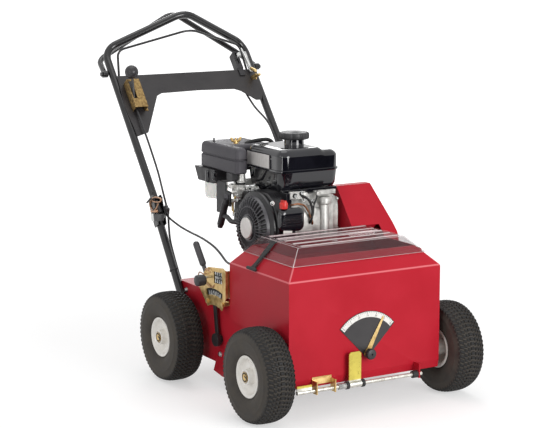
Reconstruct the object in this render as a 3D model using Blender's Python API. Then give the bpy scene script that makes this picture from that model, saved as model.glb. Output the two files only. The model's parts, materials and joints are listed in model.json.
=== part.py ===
"""Walk-behind seeder: seed box, slicing reel, four turf wheels, small engine and folding handle.

Metres, +Z up. The front of the machine faces -Y and the operator stands at +Y. Pieces are
drawn in machine coordinates, whose zero is the floor under the middle of the front panel.
An empty then moves the whole machine, so that its bounding box is centred on the origin.
"""
import math

import bmesh
import bpy
from mathutils import Matrix, Vector

# Clearances
GAP = 0.0003              # between pieces that touch
RUN = 0.0004              # radial clearance of a turning fit

# Wheels, 11 x 4.00-4 turf tyres
TYRE_DIAMETER = 0.280
TYRE_WIDTH = 0.096
TREAD_DEPTH = 0.0045
RIM_FLANGE_RADIUS = 0.0620
RIM_WIDTH = 0.080
RIM_BEAD_RADIUS = 0.0525
HUB_RADIUS = 0.0230
AXLE_RADIUS = 0.0095
TRACK_HALF = 0.3315
FRONT_AXLE_Y = 0.056
WHEELBASE = 0.544

# Frame
SIDE_PLATE_THICK = 0.004
PLATE_BOTTOM = 0.080
DECK_TOP = 0.2950
DECK_THICK = 0.004
DECK_FRONT = 0.350
FRAME_REAR = 0.690
PLINTH_TOP = 0.3520

# Seed box and lid
BOX_HALF = 0.264
SIDE_PLATE_OUTER = BOX_HALF - 0.009
BOX_DEPTH = 0.344
BOX_SHEET = 0.002
WALL_BOTTOM = 0.235
PANEL_BOTTOM = 0.096
WALL_TOP = 0.4116
RIM_TOP = 0.4660
HIP_BACK = 0.72           # inset of the back slope per unit of height, 1 on the other three
LID_BASE = 0.4475
LID_TOP = 0.4930
LID_THICK = 0.003
LID_RIBS = 5
LID_RIB_HEIGHT = 0.003
OUTLET_LOW_Y = 0.075
OUTLET_HIGH_Y = 0.105
OUTLET_Z = 0.165
OUTLET_HALF = 0.235
HINGE_RADIUS = 0.0045
STRAP_Y = 0.203
AGITATOR_Y = 0.100
AGITATOR_Z = 0.212
AGITATOR_RADIUS = 0.006

# Dial and seed gate
DIAL_Z = 0.175
DIAL_RADIUS = 0.125
DIAL_SWEEP = 50.0         # degrees each side of upright
DIAL_THICK = 0.0015
POINTER_REST = 28.3       # degrees right of upright
GATE_SHAFT_Y = -0.017
GATE_SHAFT_Z = 0.091
GATE_SHAFT_RADIUS = 0.006
GATE_LEVER_X = -0.050

# Slicing reel and its lift
LIFT_Y = 0.417
LIFT_Z = 0.158
LIFT_SHAFT_RADIUS = 0.0125
REEL_Y = 0.285
REEL_Z = 0.163
REEL_SHAFT_RADIUS = 0.0125
REEL_DISCS = 9
REEL_HALF = 0.2032
DISC_RADIUS = 0.104
DISC_THICK = 0.004
DISC_TEETH = 8
ARM_X = BOX_HALF - 0.0275
ARM_THICK = 0.008
REEL_PULLEY_RADIUS = 0.050
BELT_X = BOX_HALF + 0.0275

# Engine, crankshaft across the machine
CRANK_Y = 0.460
CRANK_Z = 0.487
CRANKCASE_LEFT = -0.030
CRANKCASE_RIGHT = 0.150
CYLINDER_Y = 0.500
CYLINDER_Z = 0.468
CYLINDER_LEAN = 18.0
RECOIL_X = -0.115
RECOIL_RADIUS = 0.112
RECOIL_RIBS = 28
ENGINE_PULLEY_RADIUS = 0.040
PTO_RADIUS = 0.0125
TANK_LEFT = -0.050
TANK_WIDTH = 0.215
TANK_FRONT = 0.400
TANK_DEPTH = 0.220
TANK_BOTTOM = 0.598
TANK_SEAM = 0.660
TANK_TOP = 0.7275
CAP_X = 0.066
CAP_Y = 0.515
CAP_RADIUS = 0.048
SWITCH_X = -0.0796
SWITCH_Y = 0.3365

# Handle: uprights that lean back, a little more above the fold, measured along their slope
HANDLE_X = 0.268
HANDLE_Y = 0.673
HANDLE_Z = 0.285
HANDLE_LEAN = 55.3        # degrees above the floor
TUBE_RADIUS = 0.0127
LOWER_END = 0.228
FOLD_S = 0.2512
FOLD_N = 0.0156           # height of the fold's bolt over the lower tubes' plane
UPPER_LEAN = 51.4         # degrees above the floor, above the fold
UPPER_START = 0.240
BEND_S = 0.880
BAIL_S = 0.787
BAIL_RADIUS = 0.0095
BAIL_X = 0.292
ROD_BAIL_RADIUS = 0.004
PANEL_TOP = 0.7632
PANEL_THICK = 0.003
GATE_FACE = 0.045         # height of the lever gate's face over the tubes' plane
LEVER_S = 0.647
LEVER_N = 0.027
THROTTLE_S = 0.8093
BALL_RADIUS = 0.0225
CABLE_RADIUS = 0.0035

X_AXIS, Y_AXIS, Z_AXIS = 0, 1, 2
LEAN = math.radians(HANDLE_LEAN)
RAKE = math.radians(UPPER_LEAN)
WHEEL_Z = TYRE_DIAMETER / 2
REAR_AXLE_Y = FRONT_AXLE_Y + WHEELBASE
BAIL_REACH_Y = 1.23857    # rearmost point of the drive bail
FRONT_REACH_Y = FRONT_AXLE_Y - TYRE_DIAMETER / 2
DATUM_Y = -(FRONT_REACH_Y + BAIL_REACH_Y) / 2

RED = (0.46, 0.012, 0.020)
BLACK = (0.020, 0.019, 0.022)


def clear_scene():
    """Remove whatever the file held before."""
    for old in list(bpy.data.objects):
        bpy.data.objects.remove(old, do_unlink=True)


def material(name, colour, roughness, metallic=0.0):
    """Principled material of one colour, made once for each name."""
    made = bpy.data.materials.get(name)
    if made:
        return made
    made = bpy.data.materials.new(name)
    made.use_nodes = True
    shader = made.node_tree.nodes["Principled BSDF"]
    shader.inputs["Base Color"].default_value = (*colour, 1.0)
    shader.inputs["Roughness"].default_value = roughness
    shader.inputs["Metallic"].default_value = metallic
    return made


def red_paint():
    return material("red_paint", RED, 0.35)


def black_paint():
    return material("black_paint", BLACK, 0.45)


def black_plastic():
    return material("black_plastic", (0.018, 0.018, 0.020), 0.55)


def zinc():
    return material("zinc_plate", (0.60, 0.60, 0.58), 0.35, 0.9)


def gold_zinc():
    return material("yellow_zinc_plate", (0.62, 0.46, 0.20), 0.38, 0.8)


def rubber():
    return material("black_rubber", (0.022, 0.021, 0.020), 0.8)


def aluminium():
    return material("cast_aluminium", (0.55, 0.55, 0.54), 0.5, 0.9)


def as_object(name, mesh, finish):
    """Link a mesh as an object with its material and smooth rounds."""
    body = bpy.data.objects.new(name, mesh)
    bpy.context.scene.collection.objects.link(body)
    mesh.materials.clear()
    mesh.materials.append(finish)
    mesh.shade_smooth()
    mesh.set_sharp_from_angle(angle=math.radians(35))
    return body


def from_bmesh(name, shape, finish):
    """Turn a bmesh into an object with its faces pointing out."""
    bmesh.ops.recalc_face_normals(shape, faces=shape.faces)
    mesh = bpy.data.meshes.new(name)
    shape.to_mesh(mesh)
    shape.free()
    return as_object(name, mesh, finish)


def spot(axis, along, a, b):
    """Point at 'along' on an axis and (a, b) on the other two, in X, Y, Z order."""
    if axis == X_AXIS:
        return (along, a, b)
    if axis == Y_AXIS:
        return (a, along, b)
    return (a, b, along)


def prism(name, outline, axis, low, high, finish):
    """Flat outline drawn square to an axis and given a thickness along it."""
    shape = bmesh.new()
    rings = []
    for along in (low, high):
        rings.append([shape.verts.new(spot(axis, along, a, b)) for a, b in outline])
    shape.faces.new(rings[0])
    shape.faces.new(list(reversed(rings[1])))
    count = len(outline)
    for i in range(count):
        j = (i + 1) % count
        shape.faces.new((rings[0][j], rings[0][i], rings[1][i], rings[1][j]))
    return from_bmesh(name, shape, finish)


def box(name, low, high, finish):
    """Rectangular block between two corners."""
    outline = [(low[0], low[1]), (high[0], low[1]), (high[0], high[1]), (low[0], high[1])]
    return prism(name, outline, Z_AXIS, low[2], high[2], finish)


def circle(a, b, radius, sides, start=0.0):
    """Points of a circle, from an angle in degrees."""
    points = []
    for i in range(sides):
        turn = math.radians(start) + 2 * math.pi * i / sides
        points.append((a + radius * math.cos(turn), b + radius * math.sin(turn)))
    return points


def arc(a, b, radius, first, last, steps):
    """Points of an arc between two angles in degrees."""
    points = []
    for i in range(steps + 1):
        turn = math.radians(first + (last - first) * i / steps)
        points.append((a + radius * math.cos(turn), b + radius * math.sin(turn)))
    return points


def rod(name, centre, radius, axis, low, high, finish, sides=16):
    """Round bar along an axis; centre is the pair of the other two coordinates."""
    return prism(name, circle(centre[0], centre[1], radius, sides), axis, low, high, finish)


def rounded_rectangle(low_a, low_b, high_a, high_b, radius, steps=3):
    """Rectangle with round corners, as a list of points."""
    points = []
    corners = ((high_a - radius, high_b - radius, 0), (low_a + radius, high_b - radius, 90),
               (low_a + radius, low_b + radius, 180), (high_a - radius, low_b + radius, 270))
    for a, b, first in corners:
        points.extend(arc(a, b, radius, first, first + 90, steps))
    return points


def loft(name, rings, finish, closed=False):
    """Skin through rings of points; the ends are capped, or joined when closed."""
    shape = bmesh.new()
    loops = [[shape.verts.new(point) for point in ring] for ring in rings]
    count = len(loops[0])
    pairs = list(zip(loops, loops[1:]))
    if closed:
        pairs.append((loops[-1], loops[0]))
    for first, second in pairs:
        for i in range(count):
            j = (i + 1) % count
            shape.faces.new((first[i], first[j], second[j], second[i]))
    if not closed:
        shape.faces.new(list(reversed(loops[0])))
        shape.faces.new(loops[-1])
    return from_bmesh(name, shape, finish)


def lathe(name, profile, centre, axis, steps, finish, wave=None):
    """Turn a closed profile of (along, radius) pairs round an axis.

    wave(i, k) may add to the radius and to the place along, at step i and profile point k.
    """
    rings = []
    for i in range(steps):
        turn = 2 * math.pi * i / steps
        ring = []
        for k, (along, radius) in enumerate(profile):
            extra_along, extra_radius = wave(i, k) if wave else (0.0, 0.0)
            reach = radius + extra_radius
            ring.append(spot(axis, along + extra_along, centre[0] + reach * math.cos(turn),
                             centre[1] + reach * math.sin(turn)))
        rings.append(ring)
    return loft(name, rings, finish, closed=True)


def spindle(name, steps, centre, finish, sides=16):
    """Stepped round bar along X: (x, radius) pairs from one end to the other."""
    rings = []
    for x, radius in steps:
        rings.append([(x, y, z) for y, z in circle(centre[0], centre[1], radius, sides)])
    return loft(name, rings, finish)


def rounded_path(points, radii, steps=4):
    """Straight runs with round corners; one radius for each inner point."""
    path = [Vector(points[0])]
    for before, corner, after, radius in zip(points, points[1:], points[2:], radii):
        corner = Vector(corner)
        to_first = (Vector(before) - corner).normalized()
        to_last = (Vector(after) - corner).normalized()
        half = to_first.angle(to_last) / 2
        reach = radius / math.tan(half)
        centre = corner + (to_first + to_last).normalized() * (radius / math.sin(half))
        start = corner + to_first * reach - centre
        end = corner + to_last * reach - centre
        sweep = start.angle(end)
        for i in range(steps + 1):
            part = i / steps
            mix = start * math.sin((1 - part) * sweep) + end * math.sin(part * sweep)
            path.append(centre + mix / math.sin(sweep))
    path.append(Vector(points[-1]))
    return path


def smooth_path(points, per_run=4):
    """Catmull-Rom curve through the points of a cable's route."""
    ends = [Vector(p) for p in points]
    route = [ends[0] * 2 - ends[1]] + ends + [ends[-1] * 2 - ends[-2]]
    path = []
    for a, b, c, d in zip(route, route[1:], route[2:], route[3:]):
        for i in range(per_run):
            t = i / per_run
            path.append(0.5 * ((2 * b) + (c - a) * t + (2 * a - 5 * b + 4 * c - d) * t * t
                               + (3 * b - a - 3 * c + d) * t ** 3))
    path.append(ends[-1])
    return path


def tube(name, path, radius, finish, resolution=3, cyclic=False):
    """Round bar swept along a path, made with a bevelled curve and kept as a mesh."""
    curve = bpy.data.curves.new(name + "_path", "CURVE")
    curve.dimensions = "3D"
    curve.bevel_depth = radius
    curve.bevel_resolution = resolution
    curve.use_fill_caps = True
    spline = curve.splines.new("POLY")
    spline.points.add(len(path) - 1)
    for point, place in zip(spline.points, path):
        point.co = (*place, 1.0)
    spline.use_cyclic_u = cyclic
    guide = bpy.data.objects.new(name + "_path", curve)
    bpy.context.scene.collection.objects.link(guide)
    graph = bpy.context.evaluated_depsgraph_get()
    mesh = bpy.data.meshes.new_from_object(guide.evaluated_get(graph))
    bpy.data.objects.remove(guide, do_unlink=True)
    mesh.name = name
    shape = bmesh.new()
    shape.from_mesh(mesh)
    bmesh.ops.remove_doubles(shape, verts=shape.verts, dist=0.00002)
    return from_bmesh(name, shape, finish)


def combine(body, tools, operation):
    """Join tools to a body, or cut them from it, and drop the tools."""
    for tool in tools:
        step = body.modifiers.new(operation.lower(), "BOOLEAN")
        step.operation = operation
        step.object = tool
        step.solver = "EXACT"
    graph = bpy.context.evaluated_depsgraph_get()
    mesh = bpy.data.meshes.new_from_object(body.evaluated_get(graph))
    body.modifiers.clear()
    body.data = mesh
    for tool in tools:
        bpy.data.objects.remove(tool, do_unlink=True)
    mesh.set_sharp_from_angle(angle=math.radians(35))
    return body


def join(body, *tools):
    return combine(body, tools, "UNION")


def cut(body, *tools):
    return combine(body, tools, "DIFFERENCE")


def mirrored(body, name):
    """Copy of a body on the other side of the machine's centre plane."""
    shape = bmesh.new()
    shape.from_mesh(body.data)
    bmesh.ops.scale(shape, vec=(-1, 1, 1), verts=shape.verts)
    bmesh.ops.reverse_faces(shape, faces=shape.faces)
    return from_bmesh(name, shape, body.data.materials[0])


PLACES = {}


def pivot(name, at, parent):
    """Empty on a joint's axis, given in machine coordinates."""
    empty = bpy.data.objects.new(name, None)
    bpy.context.scene.collection.objects.link(empty)
    empty.empty_display_size = 0.05
    PLACES[name] = Vector(at)
    empty.parent = parent
    empty.location = PLACES[name] - PLACES.get(parent.name, Vector()) if parent else at
    return empty


def carry(parent, *bodies):
    """Hang bodies, drawn in machine coordinates, on an empty."""
    for body in bodies:
        body.data.transform(Matrix.Translation(-PLACES[parent.name]))
        body.parent = parent


def leaning(x, s, n):
    """Point by the handle: x across, s up the slope of the uprights, n out to the front."""
    return (x, HANDLE_Y + s * math.cos(LEAN) - n * math.sin(LEAN),
            HANDLE_Z + s * math.sin(LEAN) + n * math.cos(LEAN))


def raked(x, s, n):
    """The same above the fold, where the uprights lean back further."""
    _, y, z = leaning(x, FOLD_S, FOLD_N)
    reach = s - FOLD_S
    y += reach * math.cos(RAKE) - n * math.sin(RAKE)
    z += reach * math.sin(RAKE) + n * math.cos(RAKE)
    return (x, y, z)


def raked_prism(name, outline, low, high, finish):
    """Outline of (x, s) pairs on the upper handle's plane, between two heights over it."""
    rings = [[raked(x, s, n) for x, s in outline] for n in (low, high)]
    return loft(name, rings, finish)


def raked_rod(name, x_low, x_high, s, n, radius, finish, sides=12):
    """Round bar across the machine at a point of the upper handle's slope."""
    middle = raked(0, s, n)
    return rod(name, middle[1:], radius, X_AXIS, x_low, x_high, finish, sides)


def make_frame():
    """Welded frame: side plates, deck, engine plinth, cross members and skirt."""
    outer = SIDE_PLATE_OUTER
    inner = outer - SIDE_PLATE_THICK
    deck_low = DECK_TOP - DECK_THICK
    plate_outline = [(0.012, 0.100), (0.190, 0.100), (0.215, PLATE_BOTTOM), (0.530, PLATE_BOTTOM),
                     (0.600, 0.095), (FRAME_REAR, 0.180), (FRAME_REAR, DECK_TOP),
                     (DECK_FRONT, DECK_TOP), (DECK_FRONT, WALL_BOTTOM - 0.003),
                     (0.012, WALL_BOTTOM - 0.003)]
    finish = red_paint()
    left = prism("frame", plate_outline, X_AXIS, -outer, -inner, finish)
    right = prism("right", plate_outline, X_AXIS, inner, outer, finish)
    lap = inner + 0.001
    deck = box("deck", (-lap, DECK_FRONT, deck_low), (lap, FRAME_REAR, DECK_TOP), finish)
    rear = box("rear", (-lap, FRAME_REAR - 0.004, 0.185), (lap, FRAME_REAR, deck_low + 0.001), finish)
    front = box("front", (-lap, 0.014, 0.103), (lap, 0.034, 0.121), finish)
    plinth = prism("plinth", [(0.372, deck_low + 0.001), (0.372, PLINTH_TOP - 0.004),
                              (0.376, PLINTH_TOP), (0.604, PLINTH_TOP), (0.608, PLINTH_TOP - 0.004),
                              (0.608, deck_low + 0.001)], X_AXIS, -0.060, 0.150, finish)
    skirt = prism("skirt", [(0.225, 0.100), (0.225, 0.050), (0.407, 0.042), (0.462, 0.050),
                            (0.440, 0.100)], X_AXIS, -outer - 0.002, -outer + 0.001, finish)
    lip = BOX_HALF - BOX_SHEET - GAP
    flange_outline = [(outer - 0.001, WALL_BOTTOM - 0.006), (lip, WALL_BOTTOM - 0.006),
                      (lip, WALL_BOTTOM + 0.020), (outer + 0.003, WALL_BOTTOM + 0.020),
                      (outer + 0.003, WALL_BOTTOM - 0.003), (outer - 0.001, WALL_BOTTOM - 0.003)]
    flange = prism("flange", flange_outline, Y_AXIS, 0.030, 0.330, finish)
    other = mirrored(flange, "other_flange")
    join(left, right, deck, rear, front, plinth, skirt, flange, other)
    reach = outer + 0.02
    holes = [rod("hole", (FRONT_AXLE_Y, WHEEL_Z), AXLE_RADIUS + RUN, X_AXIS, -reach, reach, finish, 20),
             rod("hole", (REAR_AXLE_Y, WHEEL_Z), AXLE_RADIUS + RUN, X_AXIS, -reach, reach, finish, 20),
             rod("hole", (LIFT_Y, LIFT_Z), LIFT_SHAFT_RADIUS + RUN, X_AXIS, -reach, reach, finish, 20)]
    slot = rounded_rectangle(REEL_Y - 0.022, 0.086, REEL_Y + 0.030, REEL_Z + 0.022, 0.018)
    holes.append(prism("slot", slot, X_AXIS, inner - 0.01, reach, finish))
    return cut(left, *holes)


def hip_ring(z, outset):
    """Corners of the box's top slopes at a height, moved out square to the slope."""
    rise = z - WALL_TOP
    out = outset * math.sqrt(2)
    back_out = outset * math.sqrt(1 + HIP_BACK ** 2)
    side = BOX_HALF - rise + out
    front = rise - out
    back = BOX_DEPTH - rise * HIP_BACK + back_out
    return [(-side, front, z), (side, front, z), (side, back, z), (-side, back, z)]


def wall_ring(z, inset):
    """Corners of the box's upright walls at a height."""
    half = BOX_HALF - inset
    return [(-half, inset, z), (half, inset, z), (half, BOX_DEPTH - inset, z), (-half, BOX_DEPTH - inset, z)]


def funnel_ring(z, inset):
    """Corners of the sloping trough under the box, from the walls down to the outlet."""
    top = 0.360
    part = (z - OUTLET_Z) / (top - OUTLET_Z)
    half = OUTLET_HALF + part * (BOX_HALF - 0.001 - OUTLET_HALF)
    front = OUTLET_LOW_Y + part * (0.001 - OUTLET_LOW_Y)
    back = OUTLET_HIGH_Y + part * (BOX_DEPTH - 0.001 - OUTLET_HIGH_Y)
    return [(-half + inset, front + inset, z), (half - inset, front + inset, z),
            (half - inset, back - inset, z), (-half + inset, back - inset, z)]


def make_hopper():
    """Folded sheet seed box with hipped top, sloping trough, outlet and full front panel."""
    sheet = BOX_SHEET
    finish = red_paint()
    rings = [wall_ring(WALL_BOTTOM, 0), wall_ring(WALL_TOP, 0), hip_ring(RIM_TOP, 0),
             hip_ring(RIM_TOP, -sheet), wall_ring(WALL_TOP - 0.001, sheet), wall_ring(WALL_BOTTOM, sheet)]
    walls = loft("hopper", rings, finish, closed=True)
    funnel = loft("funnel", [funnel_ring(OUTLET_Z, 0), funnel_ring(0.360, 0), funnel_ring(0.360, sheet),
                             funnel_ring(OUTLET_Z, sheet)], finish, closed=True)
    fold = 0.024
    panel = prism("panel", [(0, WALL_BOTTOM + 0.01), (0, PANEL_BOTTOM + fold), (0.0055, PANEL_BOTTOM),
                            (0.0075, PANEL_BOTTOM), (sheet, PANEL_BOTTOM + fold),
                            (sheet, WALL_BOTTOM + 0.01)],
                  X_AXIS, -BOX_HALF, BOX_HALF, finish)
    rail = prism("rail", [(-0.2335, 0.1600), (-0.2400, 0.1600), (-0.2400, 0.1720), (-0.2345, 0.1720),
                          (-0.2345, 0.1652), (-0.2370, 0.1652), (-0.2370, 0.1615), (-0.2335, 0.1615)],
                 Y_AXIS, 0.036, OUTLET_HIGH_Y + 0.004, finish)
    other_rail = mirrored(rail, "other_rail")
    bearing = box("bearing", (0.1720, GATE_SHAFT_Y - 0.011, GATE_SHAFT_Z - 0.011), (0.1760, 0.0050, 0.124),
                  finish)
    join(walls, funnel, panel, rail, other_rail, bearing, *hinge_hardware(finish))
    back = box("back", (-BOX_HALF + 0.0005 + sheet, BOX_DEPTH - 0.004, WALL_BOTTOM - 0.01),
               (BOX_HALF - 0.0005 - sheet, BOX_DEPTH + 0.004, 0.330), finish)
    shaft = rod("shaft", (AGITATOR_Y, AGITATOR_Z), AGITATOR_RADIUS + RUN, X_AXIS, -0.25, 0.25, finish)
    hole = rod("hole", (GATE_SHAFT_Y, GATE_SHAFT_Z), GATE_SHAFT_RADIUS + RUN, X_AXIS, 0.16, 0.18, finish)
    return cut(walls, back, shaft, hole)


def make_lid():
    """Clear moulded lid: a hipped cover with raised ribs along its flat top."""
    finish = material("clear_lid", (0.32, 0.28, 0.29), 0.08)
    outer = GAP + LID_THICK
    rings = [hip_ring(LID_BASE, outer), hip_ring(LID_TOP, outer), hip_ring(LID_TOP - LID_THICK, GAP),
             hip_ring(LID_BASE, GAP)]
    shape = bmesh.new()
    loops = [[shape.verts.new(point) for point in ring] for ring in rings]
    for first, second in ((0, 1), (2, 3), (3, 0)):
        for i in range(4):
            j = (i + 1) % 4
            shape.faces.new((loops[first][i], loops[first][j], loops[second][j], loops[second][i]))
    shape.faces.new(loops[1])
    shape.faces.new(list(reversed(loops[2])))
    lid = from_bmesh("hopper_lid", shape, finish)
    corner = hip_ring(LID_TOP, outer)
    low_y, high_y = corner[0][1] + 0.012, corner[2][1] - 0.022
    half = corner[1][0] - 0.016
    ribs = []
    for i in range(LID_RIBS):
        y = low_y + (high_y - low_y) * i / (LID_RIBS - 1)
        outline = [(y - 0.005, LID_TOP - 0.001), (y + 0.005, LID_TOP - 0.001),
                   (y + 0.003, LID_TOP + LID_RIB_HEIGHT), (y - 0.003, LID_TOP + LID_RIB_HEIGHT)]
        ribs.append(prism("rib", outline, X_AXIS, -half, half, finish))
    x, z = lid_hinge_line()
    web = prism("web", [(x - 0.0110, z + 0.0020), (x - 0.0080, z - 0.0012), (x - 0.0010, z - 0.0040),
                        (x, z), (x - 0.0035, z + 0.0030)], Y_AXIS, 0.0855, 0.2545, finish)
    barrel = rod("barrel", (x, z), HINGE_RADIUS, Y_AXIS, 0.0853, 0.2547, finish, 16)
    join(lid, web, barrel, *ribs)
    hole = rod("hole", (x, z), HINGE_RADIUS - 0.001, Y_AXIS, 0.080, 0.260, finish, 16)
    return cut(lid, hole)


def lid_hinge_line():
    """Axis of the lid's hinge, on the left-hand slope of the box: x and z."""
    side = BOX_HALF - (LID_BASE - WALL_TOP)
    return side + 0.0115, LID_BASE + 0.0015


def hinge_hardware(finish):
    """Hinge pin on its two ears, and the keeper that the latch strap hooks over."""
    x, z = lid_hinge_line()
    slope = math.sqrt(0.5)
    reach = 0.0134 * slope + 0.0005
    parts = [rod("pin", (x, z), HINGE_RADIUS - RUN - 0.001, Y_AXIS, 0.0705, 0.2695, finish, 12)]
    for y in (0.070, 0.258):
        outline = []
        for along, out in ((-0.0030, 0.0030), (0.0035, 0.0035), (0.0170, 0.0018 - reach),
                           (0.0170, -reach), (-0.0015, -reach), (-0.0028, -0.0030)):
            outline.append((x + (along + out) * slope, z + (out - along) * slope))
        parts.append(prism("ear", outline, Y_AXIS, y, y + 0.012, finish))
    keeper_x = -BOX_HALF + 0.0060
    base = keeper_x + WALL_TOP + BOX_HALF
    outline = []
    for along, out in ((0.0080, -0.0005), (0.0080, 0.0014), (0.0012, 0.0014), (0.0005, 0.0032),
                       (-0.0020, 0.0032), (-0.0020, -0.0005)):
        outline.append((keeper_x + (along - out) * slope, base + (along + out) * slope))
    parts.append(prism("keeper", outline, Y_AXIS, STRAP_Y - 0.014, STRAP_Y + 0.014, finish))
    return parts


def strap_anchor():
    """Hinge of the latch strap on the lid's slope: x and z."""
    side = hip_ring(LID_TOP, GAP + LID_THICK)[0][0]
    return side - 0.0060, LID_TOP - 0.0015


def make_latch_strap():
    """Moulded rubber strap with a T-shaped grip, hinged on the lid and lying down its slope."""
    x, z = strap_anchor()
    slope = math.sqrt(0.5)
    finish = rubber()

    def down(along, out):
        return (x - (along + out) * slope, z + (out - along) * slope)

    strap = prism("latch_strap", [down(0.0, -0.0015), down(0.1000, -0.0015), down(0.1010, -0.0042),
                                  down(0.1040, -0.0042), down(0.1070, 0.0015), down(0.1030, 0.0035),
                                  down(0.0100, 0.0025), down(0.0, 0.0020)],
                  Y_AXIS, STRAP_Y - 0.011, STRAP_Y + 0.011, finish)
    grip = rod("grip", down(0.1055, 0.0025), 0.0048, Y_AXIS, STRAP_Y - 0.027, STRAP_Y + 0.027, finish, 10)
    bead = rod("bead", (x, z), 0.0028, Y_AXIS, STRAP_Y - 0.015, STRAP_Y + 0.015, finish, 10)
    return join(strap, grip, bead)


def make_dial_plate():
    """Painted sector behind the pointer, bolted to the front panel."""
    finish = black_paint()
    low, high = 90 - DIAL_SWEEP, 90 + DIAL_SWEEP
    outline = arc(0.003, DIAL_Z, 0.014, low - 130, low - 50, 3)
    outline += arc(0.003, DIAL_Z, DIAL_RADIUS, low, high, 14)
    outline += arc(0.003, DIAL_Z, 0.014, high + 50, high + 130, 3)
    plate = prism("dial_plate", outline, Y_AXIS, -GAP - DIAL_THICK, -GAP, finish)
    post = rod("post", (0.003, DIAL_Z), 0.003, Y_AXIS, -0.0300, -GAP - 0.0005, finish, 12)
    return join(plate, post)


def make_dial_pointer():
    """Tapered gold pointer turning on the dial's post."""
    face = -GAP * 2 - DIAL_THICK
    turn = math.radians(90 - POINTER_REST)
    along = (math.cos(turn), math.sin(turn))
    side = (-along[1], along[0])
    outline = []
    for reach, half in ((-0.012, 0.007), (0.112, 0.0035), (0.119, 0.0), (0.112, -0.0035), (-0.012, -0.007)):
        outline.append((0.003 + along[0] * reach + side[0] * half,
                        DIAL_Z + along[1] * reach + side[1] * half))
    pointer = prism("dial_pointer", outline, Y_AXIS, face - 0.002, face, gold_zinc())
    hub = rod("hub", (0.003, DIAL_Z), 0.0095, Y_AXIS, face - 0.007, face, gold_zinc(), 16)
    join(pointer, hub)
    return cut(pointer, rod("hole", (0.003, DIAL_Z), 0.003 + RUN, Y_AXIS, -0.02, 0.01, gold_zinc(), 12))


def make_pointer_knob():
    """Ribbed clamp knob that locks the pointer."""
    face = -GAP * 3 - DIAL_THICK - 0.007

    def ribs(i, k):
        return 0.0, (-0.0012 if i % 2 and k in (1, 2) else 0.0)

    profile = [(face, 0.0100), (face - 0.004, 0.0165), (face - 0.016, 0.0165), (face - 0.020, 0.0125),
               (face - 0.020, 0.003 + RUN), (face, 0.003 + RUN)]
    return lathe("pointer_knob", profile, (0.003, DIAL_Z), Y_AXIS, 24, black_plastic(), ribs)


def make_gate_lever():
    """Gate shaft across the front with its hand tab, collar and left-hand crank."""
    finish = zinc()
    centre = (GATE_SHAFT_Y, GATE_SHAFT_Z)
    shaft = rod("gate_lever", centre, GATE_SHAFT_RADIUS, X_AXIS, -0.2480, 0.1880, finish, 16)
    tab = prism("tab", [(GATE_LEVER_X - 0.021, GATE_SHAFT_Z + 0.004),
                        (GATE_LEVER_X + 0.021, GATE_SHAFT_Z + 0.004),
                        (GATE_LEVER_X + 0.021, 0.182), (GATE_LEVER_X + 0.015, 0.188),
                        (GATE_LEVER_X - 0.015, 0.188), (GATE_LEVER_X - 0.021, 0.182)],
                Y_AXIS, GATE_SHAFT_Y - 0.002, GATE_SHAFT_Y + 0.002, finish)
    hub = rod("hub", centre, 0.010, X_AXIS, GATE_LEVER_X - 0.021, GATE_LEVER_X + 0.021, finish, 12)
    collar = rod("collar", centre, 0.0105, X_AXIS, 0.1560, 0.1690, finish, 12)
    crank = box("crank", (-0.2480, GATE_SHAFT_Y - 0.002, GATE_SHAFT_Z - 0.002),
                (-0.1980, GATE_SHAFT_Y + 0.002, GATE_SHAFT_Z + 0.020), finish)
    return join(shaft, tab, hub, collar, crank)


def make_gate_clevis():
    """Plated clevis that holds the gate shaft to the front panel."""
    finish = gold_zinc()
    low, high, wall = -0.1870, -0.1210, 0.003
    clevis = box("gate_clevis", (low, -GAP - 0.002, 0.104), (high, -GAP, 0.126), finish)
    ears = [box("ear", (x, GATE_SHAFT_Y - 0.011, GATE_SHAFT_Z - 0.011), (x + wall, -GAP - 0.001, 0.118),
                finish)
            for x in (low, high - wall)]
    join(clevis, *ears)
    return cut(clevis, rod("hole", (GATE_SHAFT_Y, GATE_SHAFT_Z), GATE_SHAFT_RADIUS + RUN, X_AXIS, low - 0.01,
                           high + 0.01, finish))


def make_seed_gate():
    """Flat shutter that slides under the seed outlet."""
    half = 0.2370 - GAP
    return box("seed_gate", (-half, OUTLET_LOW_Y - 0.006, 0.1619), (half, OUTLET_HIGH_Y + 0.005, 0.1645),
               zinc())


def make_agitator():
    """Round shaft through the trough with pairs of stirring pins."""
    finish = zinc()
    shaft = rod("agitator", (AGITATOR_Y, AGITATOR_Z), AGITATOR_RADIUS, X_AXIS, -0.2485, 0.2485, finish, 16)
    pins = []
    for i in range(8):
        x = -0.196 + 0.056 * i
        if i % 2:
            pins.append(rod("pin", (x, AGITATOR_Y), 0.002, Z_AXIS, AGITATOR_Z - 0.024, AGITATOR_Z + 0.024,
                            finish, 6))
        else:
            pins.append(rod("pin", (x, AGITATOR_Z), 0.002, Y_AXIS, AGITATOR_Y - 0.024, AGITATOR_Y + 0.024,
                            finish, 6))
    return join(shaft, *pins)


def make_tyre(name, x, y):
    """Turf tyre with a low block tread, turned about its axle."""
    half = TYRE_WIDTH / 2
    outer = TYRE_DIAMETER / 2
    bore = RIM_BEAD_RADIUS + GAP
    side = [(0.0360, bore), (0.0360, RIM_FLANGE_RADIUS + 0.0006), (0.0440, 0.0720), (half, 0.0950),
            (0.0450, 0.1230), (0.0400, 0.1335), (0.0200, outer)]
    profile = [(-a, r) for a, r in side] + [(a, r) for a, r in reversed(side)]

    def tread(i, k):
        deep = k in (5, 6, 7, 8) and (i + k) % 2 == 0
        return 0.0, (-TREAD_DEPTH if deep else 0.0)

    return lathe(name, [(x + a, r) for a, r in profile], (y, WHEEL_Z), X_AXIS, 36, rubber(), tread)


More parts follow.
